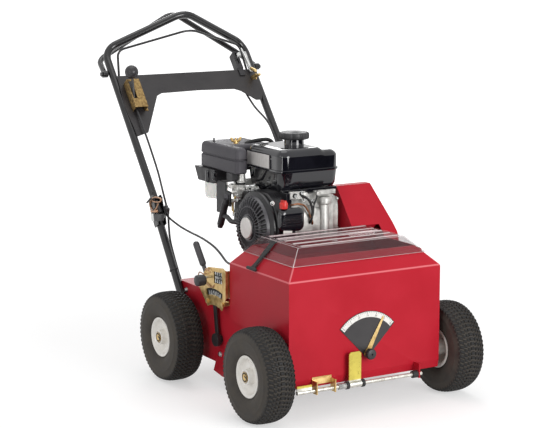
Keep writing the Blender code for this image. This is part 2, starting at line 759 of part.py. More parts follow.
def make_rim(name, x, y, out):
    """Pressed disc wheel with its bored hub; out is +1 or -1, the side that faces away."""
    flange, width, bead = RIM_FLANGE_RADIUS, RIM_WIDTH / 2, RIM_BEAD_RADIUS
    bore = AXLE_RADIUS + RUN
    profile = [(width, flange), (width - 0.0035, flange), (width - 0.0035, bead), (0.0035 - width, bead),
               (0.0035 - width, flange), (-width, flange), (-width, bead - 0.003), (0.018, bead - 0.003),
               (0.022, HUB_RADIUS), (-0.045, HUB_RADIUS), (-0.045, bore), (0.045, bore),
               (0.045, HUB_RADIUS), (0.0255, HUB_RADIUS), (0.0220, bead - 0.003), (width, bead - 0.0025)]
    finish = material("cream_enamel", (0.80, 0.76, 0.70), 0.4)
    return lathe(name, [(x + out * a, r) for a, r in profile], (y, WHEEL_Z), X_AXIS, 20, finish)


def make_axle(name, y, inner):
    """Axle with spacer collars between frame and hubs and a washer outside each hub."""
    half = []
    for low, high, radius in ((inner, TRACK_HALF - 0.045 - GAP, 0.0160),
                              (TRACK_HALF + 0.045 + GAP, TRACK_HALF + 0.0468, 0.0150)):
        half += [(low, AXLE_RADIUS), (low, radius), (high, radius), (high, AXLE_RADIUS)]
    half.append((TRACK_HALF + 0.0477, AXLE_RADIUS))
    steps = [(-x, radius) for x, radius in reversed(half)] + half
    return spindle(name, steps, (y, WHEEL_Z), gold_zinc())


def make_transaxle():
    """Drive box over the rear axle, hung from the deck by its bracket."""
    finish = aluminium()
    low = DECK_TOP - DECK_THICK - GAP
    body = prism("transaxle", [(0.548, 0.112), (0.640, 0.100), (0.652, 0.112), (0.652, 0.182), (0.630, 0.205),
                               (0.570, 0.205), (0.548, 0.182)], X_AXIS, -0.055, 0.055, finish)
    neck = box("neck", (-0.030, 0.575, 0.200), (0.030, 0.625, low - 0.003), finish)
    pad = box("pad", (-0.060, 0.560, low - 0.005), (0.060, 0.640, low), finish)
    tubes = rod("tubes", (REAR_AXLE_Y, WHEEL_Z), 0.021, X_AXIS, -0.120, 0.120, finish, 16)
    join(body, neck, pad, tubes)
    return cut(body, rod("bore", (REAR_AXLE_Y, WHEEL_Z), AXLE_RADIUS + RUN, X_AXIS, -0.13, 0.13, finish, 24))


def make_depth_quadrant():
    """Plated sector outside the frame with a rack of notches and a front flange."""
    finish = gold_zinc()
    outer, inner = -0.276, -0.273
    low = arc(LIFT_Y, LIFT_Z, 0.109, 55, 114, 6)
    outline = [(0.515, 0.305), (0.508, 0.335), (0.470, 0.372), (0.458, 0.379), (0.366, 0.390), (0.352, 0.384),
               (0.352, 0.2925)] + [p for p in reversed(low) if p[1] > 0.249]
    plate = prism("depth_quadrant", outline, X_AXIS, outer, inner, finish)
    flange = box("flange", (inner - 0.001, 0.349, 0.300), (-0.2585, 0.352, 0.384), finish)
    edge = box("edge", (outer, 0.349, 0.296), (inner, 0.354, 0.386), finish)
    spacers = []
    for y, z in ((0.462, 0.272), (0.366, 0.280)):
        spacers.append(rod("spacer", (y, z), 0.008, X_AXIS, inner - 0.001, -SIDE_PLATE_OUTER - GAP, finish,
                           12))
        spacers.append(rod("head", (y, z), 0.007, X_AXIS, outer - 0.005, outer + 0.001, finish, 6))
    join(plate, flange, edge, *spacers)
    slot = arc(LIFT_Y, LIFT_Z, 0.160, 70, 108, 8) + arc(LIFT_Y, LIFT_Z, 0.140, 108, 70, 8)
    cuts = [prism("slot", slot, X_AXIS, outer - 0.004, inner + 0.004, finish)]
    upper = [(0.370, 0.340), (0.420, 0.336), (0.422, 0.371), (0.372, 0.375)]
    cuts.append(prism("window", upper, X_AXIS, outer - 0.004, inner + 0.004, finish))
    cuts.append(rod("hole", (0.440, 0.352), 0.004 + RUN, X_AXIS, outer - 0.004, inner + 0.004, finish, 12))
    return cut(plate, *cuts)


def make_depth_lever():
    """Flat hand lever with its grip, square to the lift shaft's end."""
    finish = material("grey_grip", (0.10, 0.10, 0.105), 0.5)
    low, high = -0.2690, -0.2640
    path = [(LIFT_Y, LIFT_Z), (0.433, 0.266), (0.499, 0.366), (0.552, 0.445)]
    half = 0.0095
    left, right = [], []
    for i, (y, z) in enumerate(path):
        before = path[max(i - 1, 0)]
        after = path[min(i + 1, len(path) - 1)]
        length = math.hypot(after[0] - before[0], after[1] - before[1])
        side = ((after[1] - before[1]) / length * half, -(after[0] - before[0]) / length * half)
        left.append((y + side[0], z + side[1]))
        right.append((y - side[0], z - side[1]))
    bar = prism("depth_lever", left + list(reversed(right)), X_AXIS, low, high, finish)
    middle = (low + high) / 2
    grip = tube("grip", [(middle, 0.505, 0.375), (middle, 0.520, 0.3975), (middle, 0.550, 0.442),
                         (middle, 0.5533, 0.4470)], 0.0125, finish, 3)
    boss = rod("boss", (LIFT_Y, LIFT_Z), 0.0205, X_AXIS, low - 0.008, high, finish, 20)
    join(bar, grip, boss)
    return cut(bar, rod("hole", (LIFT_Y, LIFT_Z), LIFT_SHAFT_RADIUS + GAP, X_AXIS, low - 0.02, high + 0.01,
                        finish, 24))


def make_depth_knob():
    """Knob on a bent wire: the pawl that drops into the rack."""
    finish = black_plastic()
    knob = tube("depth_knob", [(-0.3120, 0.440, 0.352), (-0.3160, 0.440, 0.352), (-0.3400, 0.440, 0.352),
                               (-0.3440, 0.440, 0.352)], 0.0130, finish, 3)
    pin = rod("pin", (0.440, 0.352), 0.004, X_AXIS, -0.3130, -0.2702, finish, 12)
    return join(knob, pin)


def make_reel_frame():
    """Lift shaft through both side plates with the two arms that carry the reel."""
    finish = black_paint()
    shaft = rod("reel_frame", (LIFT_Y, LIFT_Z), LIFT_SHAFT_RADIUS, X_AXIS, -0.2790, 0.2620, finish, 16)
    extras = []
    holes = []
    for x in (-ARM_X, ARM_X):
        low, high = x - ARM_THICK / 2, x + ARM_THICK / 2
        outline = arc(LIFT_Y, LIFT_Z, 0.021, -88, 88, 5) + arc(REEL_Y, REEL_Z, 0.024, 92, 268, 6)
        extras.append(prism("arm", outline, X_AXIS, low, high, finish))
        holes.append(rod("hole", (REEL_Y, REEL_Z), REEL_SHAFT_RADIUS + RUN, X_AXIS, low - 0.01, high + 0.01,
                         finish, 20))
    for low, high in ((-0.2795, -0.2775), (0.2553, 0.2620)):
        extras.append(rod("collar", (LIFT_Y, LIFT_Z), 0.0165, X_AXIS, low, high, finish, 16))
    join(shaft, *extras)
    return cut(shaft, *holes)


def make_blade_reel():
    """Shaft with serrated slicing discs."""
    finish = material("blade_steel", (0.30, 0.29, 0.28), 0.4, 0.9)
    reel = rod("blade_reel", (REEL_Y, REEL_Z), REEL_SHAFT_RADIUS, X_AXIS, -ARM_X - 0.0075, BELT_X + 0.0165,
               finish, 16)
    outline = []
    for i in range(DISC_TEETH):
        for part, radius in ((0.0, DISC_RADIUS), (0.30, DISC_RADIUS), (0.62, DISC_RADIUS - 0.020)):
            turn = 2 * math.pi * (i + part) / DISC_TEETH
            outline.append((REEL_Y + radius * math.cos(turn), REEL_Z + radius * math.sin(turn)))
    discs = []
    for i in range(REEL_DISCS):
        x = -REEL_HALF + 2 * REEL_HALF * i / (REEL_DISCS - 1)
        discs.append(prism("disc", outline, X_AXIS, x - DISC_THICK / 2, x + DISC_THICK / 2, finish))
    return join(reel, *discs)


def make_pulley(name, y, z, radius, bore):
    """Grooved belt pulley."""
    half = 0.0110
    floor = radius - 0.0095
    profile = [(BELT_X - half, bore), (BELT_X - half, radius), (BELT_X - half + 0.0015, radius),
               (BELT_X - 0.0055, floor), (BELT_X + 0.0055, floor), (BELT_X + half - 0.0015, radius),
               (BELT_X + half, radius), (BELT_X + half, bore)]
    return lathe(name, profile, (y, z), X_AXIS, 20, aluminium())


def make_engine_pulley():
    """Crankshaft stub with the small driving pulley fixed on it."""
    finish = aluminium()
    pulley = make_pulley("engine_pulley", CRANK_Y, CRANK_Z, ENGINE_PULLEY_RADIUS, PTO_RADIUS - 0.001)
    stub = rod("stub", (CRANK_Y, CRANK_Z), PTO_RADIUS, X_AXIS, 0.1260, BELT_X + 0.0145, finish, 16)
    return join(pulley, stub)


def make_belt():
    """V-belt round the two pulleys."""
    engine = ENGINE_PULLEY_RADIUS - 0.0095 + GAP
    reel = REEL_PULLEY_RADIUS - 0.0095 + GAP
    dy, dz = CRANK_Y - REEL_Y, CRANK_Z - REEL_Z
    span = math.hypot(dy, dz)
    heading = math.degrees(math.atan2(dz, dy))
    tilt = math.degrees(math.acos((reel - engine) / span))
    path = []
    for turn in range(9):
        path.append((CRANK_Y, CRANK_Z, engine, heading - tilt + 2 * tilt * turn / 8))
    for turn in range(9):
        path.append((REEL_Y, REEL_Z, reel, heading + tilt + (360 - 2 * tilt) * turn / 8))
    rings = []
    for y, z, radius, angle in path:
        way = (math.cos(math.radians(angle)), math.sin(math.radians(angle)))
        ring = []
        for side, rise in ((-0.0050, 0.0), (0.0050, 0.0), (0.0080, 0.0085), (-0.0080, 0.0085)):
            reach = (radius + rise) / math.cos(math.radians(11))
            ring.append((BELT_X + side, y + reach * way[0], z + reach * way[1]))
        rings.append(ring)
    return loft("drive_belt", rings, rubber(), closed=True)


def make_belt_guard():
    """Folded sheet cover over the belt: a box on the deck and a slab down to the reel pulley."""
    finish = red_paint()
    top, back, deck = 0.595, 0.560, DECK_TOP + GAP
    wall = BOX_SHEET
    far = BELT_X + 0.0265

    def body(inset, open_below):
        low = deck - (0.01 if open_below else 0.0)
        slope = inset * math.sqrt(2)
        outline = [(0.440 + inset * 0.4, top - inset), (0.470 - inset * 0.4, top - inset),
                   (back - inset, 0.505 - inset * 0.4), (back - inset, low), (0.3485 + inset, low),
                   (0.3485 + inset, 0.4625 + inset * 2), (0.328 + slope, 0.483)]
        main = prism("main", outline, X_AXIS, 0.163 + inset, far - inset, finish)
        slab_outline = [(0.440 + inset * 0.4, top - inset), (0.470 - inset * 0.4, top - inset),
                        (back - inset, 0.505 - inset * 0.4), (back - inset, 0.350), (0.430, 0.300),
                        (0.364 - inset, 0.170), (0.364 - inset, 0.090), (0.340, 0.048 + inset),
                        (0.245, 0.048 + inset), (0.222 + inset, 0.085), (0.219 + inset, 0.200),
                        (0.302 + inset, 0.457 - inset * 0.3)]
        near = BOX_HALF + 0.0005 - (0.01 if open_below else 0.0)
        slab = prism("slab", slab_outline, X_AXIS, near, far - inset, finish)
        join(main, slab)
        wedges = []
        for edge, out in ((0.178 + inset, -1), (far - 0.013 - inset, 1)):
            foot = 0.163 + inset if out < 0 else far - inset
            corners = [(edge - out * 0.0012, top + 0.01), (edge + out * 0.05, top + 0.01),
                       (edge + out * 0.05, 0.483), (foot, 0.483)]
            wedges.append(prism("wedge", corners, Y_AXIS, 0.25, 0.65, finish))
        return cut(main, *wedges)

    guard = body(0.0, False)
    guard.name = "belt_guard"
    cut(guard, body(wall, True))
    opening = rod("opening", (CRANK_Y, CRANK_Z), 0.030, X_AXIS, 0.150, 0.175, finish, 20)
    slot = box("slot", (0.250, REEL_Y - 0.040, 0.070), (0.275, REEL_Y + 0.030, 0.230), finish)
    return cut(guard, opening, slot)


def make_crankcase():
    """Cast crankcase with the finned cylinder leaning to the rear, its head and tank posts."""
    finish = aluminium()
    base = PLINTH_TOP + GAP
    case = prism("crankcase", [(0.382, base), (0.375, base + 0.020), (0.375, 0.560), (0.392, 0.588),
                               (0.520, 0.588), (0.556, 0.560), (0.566, 0.470), (0.560, base)],
                 X_AXIS, CRANKCASE_LEFT, 0.125, finish)
    cover = prism("cover", rounded_rectangle(0.388, base + 0.004, 0.548, 0.574, 0.030), X_AXIS, 0.120,
                  CRANKCASE_RIGHT, finish)
    turn = math.radians(CYLINDER_LEAN)

    def lean(s, t):
        return (CYLINDER_Y + s * math.cos(turn) - t * math.sin(turn),
                CYLINDER_Z + s * math.sin(turn) + t * math.cos(turn))

    comb = [lean(0.0, -0.050), lean(0.056, -0.050)]
    for i in range(7):
        comb += [lean(0.060 + i * 0.017, -0.050), lean(0.066 + i * 0.017, -0.050),
                 lean(0.066 + i * 0.017, -0.040), lean(0.077 + i * 0.017, -0.040)]
    comb += [lean(0.182, -0.050), lean(0.218, -0.046), lean(0.218, 0.042), lean(0.182, 0.046)]
    for i in reversed(range(7)):
        comb += [lean(0.077 + i * 0.017, 0.036), lean(0.066 + i * 0.017, 0.036),
                 lean(0.066 + i * 0.017, 0.046), lean(0.060 + i * 0.017, 0.046)]
    comb += [lean(0.056, 0.046), lean(0.0, 0.046)]
    cylinder = prism("cylinder", comb, X_AXIS, -0.022, 0.104, finish)
    posts = [box("post", (x, y, 0.556), (x + 0.014, y + 0.014, TANK_BOTTOM - GAP), finish)
             for x, y in ((-0.020, 0.432), (0.104, 0.432), (0.104, 0.502), (-0.020, 0.502))]
    join(case, cover, cylinder, *posts)
    return cut(case, rod("bore", (CRANK_Y, CRANK_Z), PTO_RADIUS + RUN, X_AXIS, 0.1250, 0.16, finish, 20))


def make_blower_housing():
    """Pressed fan housing on the left of the crankcase."""
    finish = black_paint()
    outline = arc(CRANK_Y, CRANK_Z, 0.118, -62, 212, 22)
    outline = [(y, min(z, TANK_BOTTOM - GAP)) for y, z in outline]
    outline += [(0.372, 0.380), (0.395, 0.360), (0.500, 0.360)]
    body = prism("blower_housing", outline, X_AXIS, -0.0950, CRANKCASE_LEFT - GAP, finish)
    duct = prism("duct", [(0.540, 0.440), (0.650, 0.470), (0.640, 0.572), (0.550, 0.585)], X_AXIS, -0.080,
                 CRANKCASE_LEFT - GAP, finish)
    return join(body, duct)


def make_recoil_cover():
    """Starter cover with a ring of raised radial louvres, and the rope's guide."""
    finish = black_plastic()
    base = -0.0953

    def louvres(i, k):
        return (-0.0055 if k in (3, 4) and i % 4 < 2 else 0.0), 0.0

    profile = [(base, 0.028), (base, RECOIL_RADIUS), (base - 0.012, RECOIL_RADIUS), (base - 0.022, 0.098),
               (base - 0.034, 0.072), (base - 0.040, 0.042), (base - 0.040, 0.028)]
    cover = lathe("recoil_cover", profile, (CRANK_Y, CRANK_Z), X_AXIS, RECOIL_RIBS * 4, finish, louvres)
    disc = rod("disc", (CRANK_Y, CRANK_Z), 0.034, X_AXIS, base - 0.0490, base - 0.0200, finish, 24)
    guide = tube("guide", [(-0.1020, 0.545, 0.485), (-0.1330, 0.568, 0.490), (-0.1380, 0.5850, 0.5030),
                           (-0.1380, 0.6010, 0.5030)], 0.0055,
                 finish, 2)
    return join(cover, disc, guide)


def make_recoil_grip():
    """Starter handle hanging at the end of its guide."""
    x = -0.1380
    path = [(x, 0.5970, 0.5540), (x, 0.6010, 0.5420), (x, 0.6320, 0.4640), (x, 0.6370, 0.4510)]
    grip = tube("recoil_grip", path, 0.0105, black_plastic(), 3)
    return join(grip, tube("stem", [(x, 0.6014, 0.5030), (x, 0.6140, 0.5030)], 0.0055, black_plastic(), 1))


def make_fuel_tank():
    """Welded fuel tank: two pressings with a seam flange, raised at the rear of its floor."""
    finish = black_paint()
    rings = []
    for z, inset in ((TANK_BOTTOM, 0.014), (TANK_BOTTOM + 0.014, 0.003), (TANK_SEAM - 0.003, 0.0),
                     (TANK_SEAM - 0.003, -0.004), (TANK_SEAM + 0.003, -0.004), (TANK_SEAM + 0.003, 0.0),
                     (TANK_TOP - 0.014, 0.002), (TANK_TOP - 0.003, 0.008), (TANK_TOP, 0.018)):
        outline = rounded_rectangle(TANK_LEFT + inset, TANK_FRONT + inset, TANK_LEFT + TANK_WIDTH - inset,
                                    TANK_FRONT + TANK_DEPTH - inset, 0.030 - min(inset, 0.01))
        ring = []
        for x, y in outline:
            rise = max(0.0, y - 0.530) * 0.45 if z < TANK_BOTTOM + 0.02 else 0.0
            ring.append((x, y, z + rise))
        rings.append(ring)
    tank = loft("fuel_tank", rings, finish)
    neck = rod("neck", (CAP_X, CAP_Y), 0.031, Z_AXIS, TANK_TOP - 0.004, 0.7445, finish, 24)
    return join(tank, neck)


def make_fuel_cap():
    """Scalloped screw cap on the tank's neck."""
    def scallops(i, k):
        return 0.0, (-0.0030 if k in (1, 2) and i % 3 == 0 else 0.0)

    profile = [(0.7448, 0.044), (0.7480, CAP_RADIUS), (0.7620, CAP_RADIUS), (0.7665, 0.043), (0.7680, 0.012),
               (0.7640, 0.010), (0.7520, 0.010), (0.7448, 0.012)]
    cap = lathe("fuel_cap", profile, (CAP_X, CAP_Y), Z_AXIS, 30, black_plastic(), scallops)
    plug = rod("plug", (CAP_X, CAP_Y), 0.0135, Z_AXIS, 0.7450, 0.7665, black_plastic(), 16)
    return join(cap, plug)


def filter_outline(inset):
    """Plan of the air cleaner: a broad body with a narrower lobe to the front."""
    d = inset
    c = 0.014
    return [(-0.117 + d + c, 0.560 + d), (-0.056 - d - c, 0.560 + d), (-0.056 - d, 0.560 + d + c),
            (-0.056 - d, 0.632 + d), (0.050 - d - c, 0.632 + d), (0.050 - d, 0.632 + d + c),
            (0.050 - d, 0.802 - d - c), (0.050 - d - c, 0.802 - d), (-0.117 + d + c, 0.802 - d),
            (-0.117 + d, 0.802 - d - c), (-0.117 + d, 0.560 + d + c)]


def make_air_cleaner():
    """Two-part moulded air cleaner with a groove between base and cover, and its top nut."""
    finish = black_plastic()
    rings = []
    for z, inset in ((0.6370, 0.006), (0.6420, 0.0), (0.6780, 0.0), (0.6790, 0.004), (0.6830, 0.004),
                     (0.6840, 0.0), (0.7080, 0.001), (0.7170, 0.006), (0.7200, 0.014)):
        rings.append([(x, y, z) for x, y in filter_outline(inset)])
    body = loft("air_cleaner", rings, finish)
    nut = rod("nut", (-0.086, 0.597), 0.010, Z_AXIS, 0.7190, 0.7320, finish, 10)
    bolt = rod("bolt", (-0.086, 0.717), 0.008, Z_AXIS, 0.7190, 0.7260, finish, 10)
    return join(body, nut, bolt)


def make_intake_duct():
    """Hood under the air cleaner with the plate that hangs beside the carburettor."""
    finish = black_plastic()
    hood = prism("intake_duct", [(0.687, 0.603), (0.700, 0.592), (0.800, 0.592), (0.824, 0.6365),
                                 (0.690, 0.6365)], X_AXIS, -0.1250, -0.0300, finish)
    plate = box("plate", (-0.1180, 0.630, 0.502), (-0.1130, 0.690, 0.604), finish)
    arm = box("arm", (-0.1180, 0.668, 0.598), (-0.1130, 0.700, 0.606), finish)
    return join(hood, plate, arm)


def make_filter_cup():
    """Translucent cup under the hood."""
    finish = material("clear_cup", (0.62, 0.56, 0.42), 0.2)
    profile = [(0.5915, 0.004), (0.5915, 0.036), (0.5700, 0.038), (0.5420, 0.036), (0.5370, 0.030),
               (0.5370, 0.004)]
    cup = lathe("filter_cup", profile, (-0.085, 0.750), Z_AXIS, 16, finish)
    return join(cup, rod("core", (-0.085, 0.750), 0.006, Z_AXIS, 0.5380, 0.5910, finish, 8))


def make_carburettor():
    """Carburettor body, bowl and the throat into the cylinder's head."""
    finish = aluminium()
    body = box("carburettor", (-0.1160, 0.588, 0.590), (-0.0700, 0.628, 0.6367), finish)
    bowl = rod("bowl", (-0.093, 0.606), 0.017, Z_AXIS, 0.5880, 0.5950, finish, 16)
    throat = box("throat", (-0.0720, 0.598, 0.594), (-0.0060, 0.618, 0.614), finish)
    port = box("port", (-0.0190, 0.598, 0.5553), (-0.0060, 0.618, 0.600), finish)
    arm = box("arm", (-0.1160, 0.540, 0.600), (-0.1040, 0.590, 0.612), finish)
    return join(body, bowl, throat, port, arm)


def make_muffler():
    """Shielded muffler behind the tank with its outlet."""
    finish = material("muffler_steel", (0.22, 0.21, 0.20), 0.5, 0.8)
    can = prism("muffler", rounded_rectangle(0.645, 0.622, 0.785, 0.722, 0.026), X_AXIS, 0.075, 0.200, finish)
    pipe = tube("pipe", [(0.140, 0.770, 0.690), (0.140, 0.800, 0.690), (0.150, 0.822, 0.682)], 0.011,
                finish, 3)
    turn = math.radians(CYLINDER_LEAN)
    foot = [(CYLINDER_Y + s * math.cos(turn) - t * math.sin(turn),
             CYLINDER_Z + s * math.sin(turn) + t * math.cos(turn))
            for s, t in ((0.186, 0.0460), (0.214, 0.0429))]
    stem = prism("stem", foot + [(foot[1][0], 0.626), (foot[0][0], 0.626)], X_AXIS, 0.078, 0.098, finish)
    return join(can, pipe, stem)


def make_switch_box():
    """Black electrical box on the front of the fan housing."""
    finish = black_plastic()
    box_outline = rounded_rectangle(-0.0980, 0.4864, -0.0080, 0.5604, 0.006, 2)
    body = prism("switch_box", box_outline, Y_AXIS, 0.3240, 0.3408, finish)
    tail = box("tail", (-0.0800, 0.3270, 0.4724), (-0.0560, 0.3378, 0.4874), finish)
    lug = box("lug", (-0.0186, 0.3390, 0.4964), (-0.0081, 0.3745, 0.5464), finish)
    return join(body, tail, lug)


def make_stop_switch():
    """Red ignition knob on top of the electrical box."""
    finish = material("red_plastic", (0.55, 0.03, 0.02), 0.4)
    profile = [(0.5607, 0.004), (0.5607, 0.0125), (0.5754, 0.0135), (0.5804, 0.0105), (0.5804, 0.004)]
    knob = lathe("stop_switch", profile, (SWITCH_X, SWITCH_Y), Z_AXIS, 16, finish)
    bar = box("bar", (SWITCH_X - 0.0035, SWITCH_Y - 0.0120, 0.5614),
              (SWITCH_X + 0.0035, SWITCH_Y + 0.0120, 0.5854), finish)
    return join(knob, bar)


def make_lower_handle():
    """Right-hand lower tube with two cheek plates for the fold and the stop pin in front."""
    finish = black_paint()
    start = leaning(-HANDLE_X, -0.092, 0)
    end = leaning(-HANDLE_X, LOWER_END, 0)
    lower = tube("lower_handle_right", [start, end], TUBE_RADIUS, finish, 3)
    cheeks = []
    for low, high in ((-0.2840, -0.2804), (-0.2556, -0.2520)):
        outline = [(0.205, -0.0105), (0.215, -0.0127), (0.290, -0.0060), (0.302, 0.0040), (0.302, 0.0300),
                   (0.297, 0.0345), (0.284, 0.0345), (0.262, 0.0290), (0.235, 0.0265), (0.205, 0.0125)]
        ring = [[leaning(x, s, n) for s, n in outline] for x in (low, high)]
        cheeks.append(loft("cheek", ring, finish))
    join(lower, *cheeks)
    corners = ((0.232, -0.04), (0.35, -0.04), (0.35, 0.04), (0.232, 0.04))
    relief = loft("relief", [[leaning(x, s, n) for s, n in corners] for x in (-0.2810, -0.2550)], finish)
    cut(lower, relief, raked_rod("hole", -0.30, -0.24, FOLD_S, 0, 0.004 + RUN, finish))
    path = [leaning(-0.2490, 0.290, 0.0295), leaning(-0.2900, 0.290, 0.0295), leaning(-0.2935, 0.290, 0.0260),
            leaning(-0.2935, 0.290, 0.0020)]
    return join(lower, tube("pin", path, 0.003, finish, 2))


def make_fold_knob():
    """Star knob and bolt that clamp the fold, with the washer and head outside."""
    finish = black_plastic()
    middle = raked(0, FOLD_S, 0)

    def lobes(i, k):
        return 0.0, (0.0040 if k in (1, 2) and i % 4 < 2 else 0.0)

    profile = [(-0.2516, 0.008), (-0.2440, 0.0125), (-0.2360, 0.0125), (-0.2330, 0.009), (-0.2330, 0.0030),
               (-0.2516, 0.0030)]
    knob = lathe("fold_knob_right", profile, middle[1:], X_AXIS, 20, finish, lobes)
    bolt = spindle("bolt", [(-0.2890, 0.007), (-0.2863, 0.007), (-0.2863, 0.011), (-0.2843, 0.011),
                            (-0.2843, 0.004), (-0.2340, 0.004)], middle[1:], finish, 14)
    return join(knob, bolt)


def make_upper_handle():
    """One bent tube: two uprights that meet in a low peaked grip."""
    finish = black_paint()
    left = [raked(-HANDLE_X, UPPER_START, 0), raked(-HANDLE_X, BEND_S, 0), (0, 1.1227, 1.1150)]
    right = [(-x, y, z) for x, y, z in reversed(left[:2])]
    path = rounded_path(left + right, [0.052, 0.075, 0.052], 5)
    frame = tube("upper_handle", path, TUBE_RADIUS, finish, 3)
    tools = []
    for side in (-1, 1):
        tools.append(raked_rod("hole", *sorted((side * 0.24, side * 0.30)), FOLD_S, 0, 0.004 + RUN, finish))
        tools.append(raked_rod("hole", *sorted((side * 0.2610, side * 0.24)), 0.765, -0.004,
                                 ROD_BAIL_RADIUS + RUN, finish, 12))
    cut(frame, *tools)
    bolts = []
    for side in (-1, 1):
        for inner, outer, radius in ((0.2700, 0.3060, 0.004), (0.3025, 0.3070, 0.0075)):
            ends = sorted((side * inner, side * outer))
            bolts.append(raked_rod("bolt", *ends, BAIL_S, -0.006, radius, finish, 8))
    return join(frame, *bolts)


def make_control_panel():
    """Flat sheet across the uprights, with a wing down the left one."""
    finish = black_paint()
    outline = [(-0.262, 0), (0.262, 0), (0.272, -0.085), (0.250, -0.126), (0.229, -0.126), (0.182, -0.086),
               (0.159, -0.0765), (0.020, -0.0733), (-0.120, -0.0765), (-0.140, -0.0858), (-0.218, -0.2255),
               (-0.262, -0.2380), (-0.272, -0.120)]
    outline = [(x, PANEL_TOP + s) for x, s in outline]
    base = TUBE_RADIUS + GAP
    return raked_prism("control_panel", outline, base, base + PANEL_THICK, finish)


def make_lever_gate():
    """Raised plated channel with the lever's slot and the lever's pivot pin."""
    finish = gold_zinc()
    foot = TUBE_RADIUS + PANEL_THICK + GAP * 2
    low, high = PANEL_TOP - 0.143, PANEL_TOP - 0.033
    body = raked_prism("lever_gate", [(-0.249, low), (-0.203, low), (-0.203, high), (-0.249, high)], foot,
                       GATE_FACE, finish)
    hollow = raked_prism("hollow", [(-0.247, low - 0.01), (-0.205, low - 0.01), (-0.205, high + 0.01),
                                    (-0.247, high + 0.01)], foot - 0.01, GATE_FACE - 0.002, finish)
    slot = raked_prism("slot", [(-0.2445, 0.655), (-0.2315, 0.655), (-0.2315, 0.722), (-0.2445, 0.722)],
                       GATE_FACE - 0.01, GATE_FACE + 0.01, finish)
    cut(body, hollow, slot)
    pin = raked_rod("pin", -0.2515, -0.2005, LEVER_S, LEVER_N, 0.003, finish, 10)
    side = raked_prism("foot", [(-0.2042, low), (-0.1922, low), (-0.1922, high), (-0.2042, high)], foot,
                       foot + 0.002, finish)
    return join(body, pin, side)


def make_traction_lever():
    """Drive lever: rod and ball grip on a bored hub."""
    finish = black_plastic()
    hub = raked_rod("traction_lever", -0.2465, -0.2295, LEVER_S, LEVER_N, 0.0085, finish, 14)
    stem = tube("stem", [raked(-0.238, LEVER_S, LEVER_N), raked(-0.240, 0.720, 0.073)], 0.004, finish, 1)
    ball = bmesh.new()
    bmesh.ops.create_uvsphere(ball, u_segments=14, v_segments=8, radius=BALL_RADIUS)
    grip = from_bmesh("ball", ball, finish)
    grip.data.transform(Matrix.Translation(raked(-0.243, 0.7331, 0.0829)))
    join(hub, stem, grip)
    return cut(hub, raked_rod("hole", -0.26, -0.22, LEVER_S, LEVER_N, 0.003 + RUN, finish, 10))


def make_throttle_box():
    """Throttle housing clamped to the right upright above the panel."""
    finish = black_plastic()
    low, high = PANEL_TOP + 0.003, THROTTLE_S + 0.027
    body = raked_prism("throttle_box", [(0.1990, low), (0.2210, low), (0.2210, high - 0.006), (0.2160, high),
                                        (0.2040, high), (0.1990, high - 0.006)], -0.006, 0.022, finish)
    face = TUBE_RADIUS + PANEL_THICK + GAP * 2
    foot = raked_prism("foot", [(0.2000, PANEL_TOP - 0.026), (0.2200, PANEL_TOP - 0.026),
                                (0.2200, low + 0.006), (0.2000, low + 0.006)], face, face + 0.0045, finish)
    join(body, foot)
    slot = raked_prism("slot", [(0.2080, 0.7850), (0.2130, 0.7850), (0.2130, 0.8300), (0.2080, 0.8300)],
                       0.0042, 0.04, finish)
    return cut(body, slot)


def make_throttle_lever():
    """Short throttle lever in its slot."""
    finish = zinc()
    low, high = THROTTLE_S - 0.005, THROTTLE_S + 0.005
    lever = raked_prism("throttle_lever", [(0.2083, low), (0.2127, low), (0.2127, high), (0.2083, high)],
                        0.0063, 0.040, finish)
    low, high = THROTTLE_S - 0.007, THROTTLE_S + 0.007
    knob = raked_prism("knob", [(0.2060, low), (0.2150, low), (0.2150, high), (0.2060, high)], 0.034, 0.046,
                       finish)
    return join(lever, knob)


def make_drive_bail():
    """Heavier bail outside the grip, pivoted on both uprights."""
    finish = black_paint()
    pivot_at = raked(-BAIL_X, BAIL_S, -0.006)
    left = [pivot_at, (-0.272, 1.2309, 0.9555), (0, 1.2114, 1.1087)]
    right = [(-x, y, z) for x, y, z in reversed(left[:2])]
    path = rounded_path(left + right, [0.040, 0.055, 0.040], 4)
    bail = tube("drive_bail", path, BAIL_RADIUS, finish, 2)
    eyes = [raked_rod("eye", *sorted((side * 0.2830, side * 0.3010)), BAIL_S, -0.006, 0.0115, finish, 14)
            for side in (-1, 1)]
    join(bail, *eyes)
    return cut(bail, raked_rod("hole", -0.35, 0.35, BAIL_S, -0.006, 0.004 + RUN, finish, 10))


def make_engage_bail():
    """Thin wire bail inside the grip, its ends turned out into the uprights."""
    start = raked(0, 0.765, -0.004)
    left = [(-0.2600, start[1], start[2]), (-0.2470, start[1], start[2]), (-0.2350, 1.161, 0.9908),
            (0, 1.0803, 1.0584)]
    right = [(-x, y, z) for x, y, z in reversed(left[:3])]
    path = rounded_path(left + right, [0.006, 0.030, 0.080, 0.030, 0.006], 3)
    return tube("engage_bail", path, ROD_BAIL_RADIUS, zinc(), 1)


def make_bail_spring():
    """Return spring of the wire bail in its sleeve, on a bracket below the grip."""
    finish = zinc()
    top = raked(0.2394, 0.8249, 0.0320)
    low = raked(0.2450, 0.7461, 0.0232)
    sleeve = tube("bail_spring", [top, low], 0.0065, finish, 2)
    return sleeve


def make_cable(name, points, radius=CABLE_RADIUS, per_run=3):
    """Sheathed control cable along its route."""
    return tube(name, smooth_path(points, per_run), radius, black_plastic(), 1)


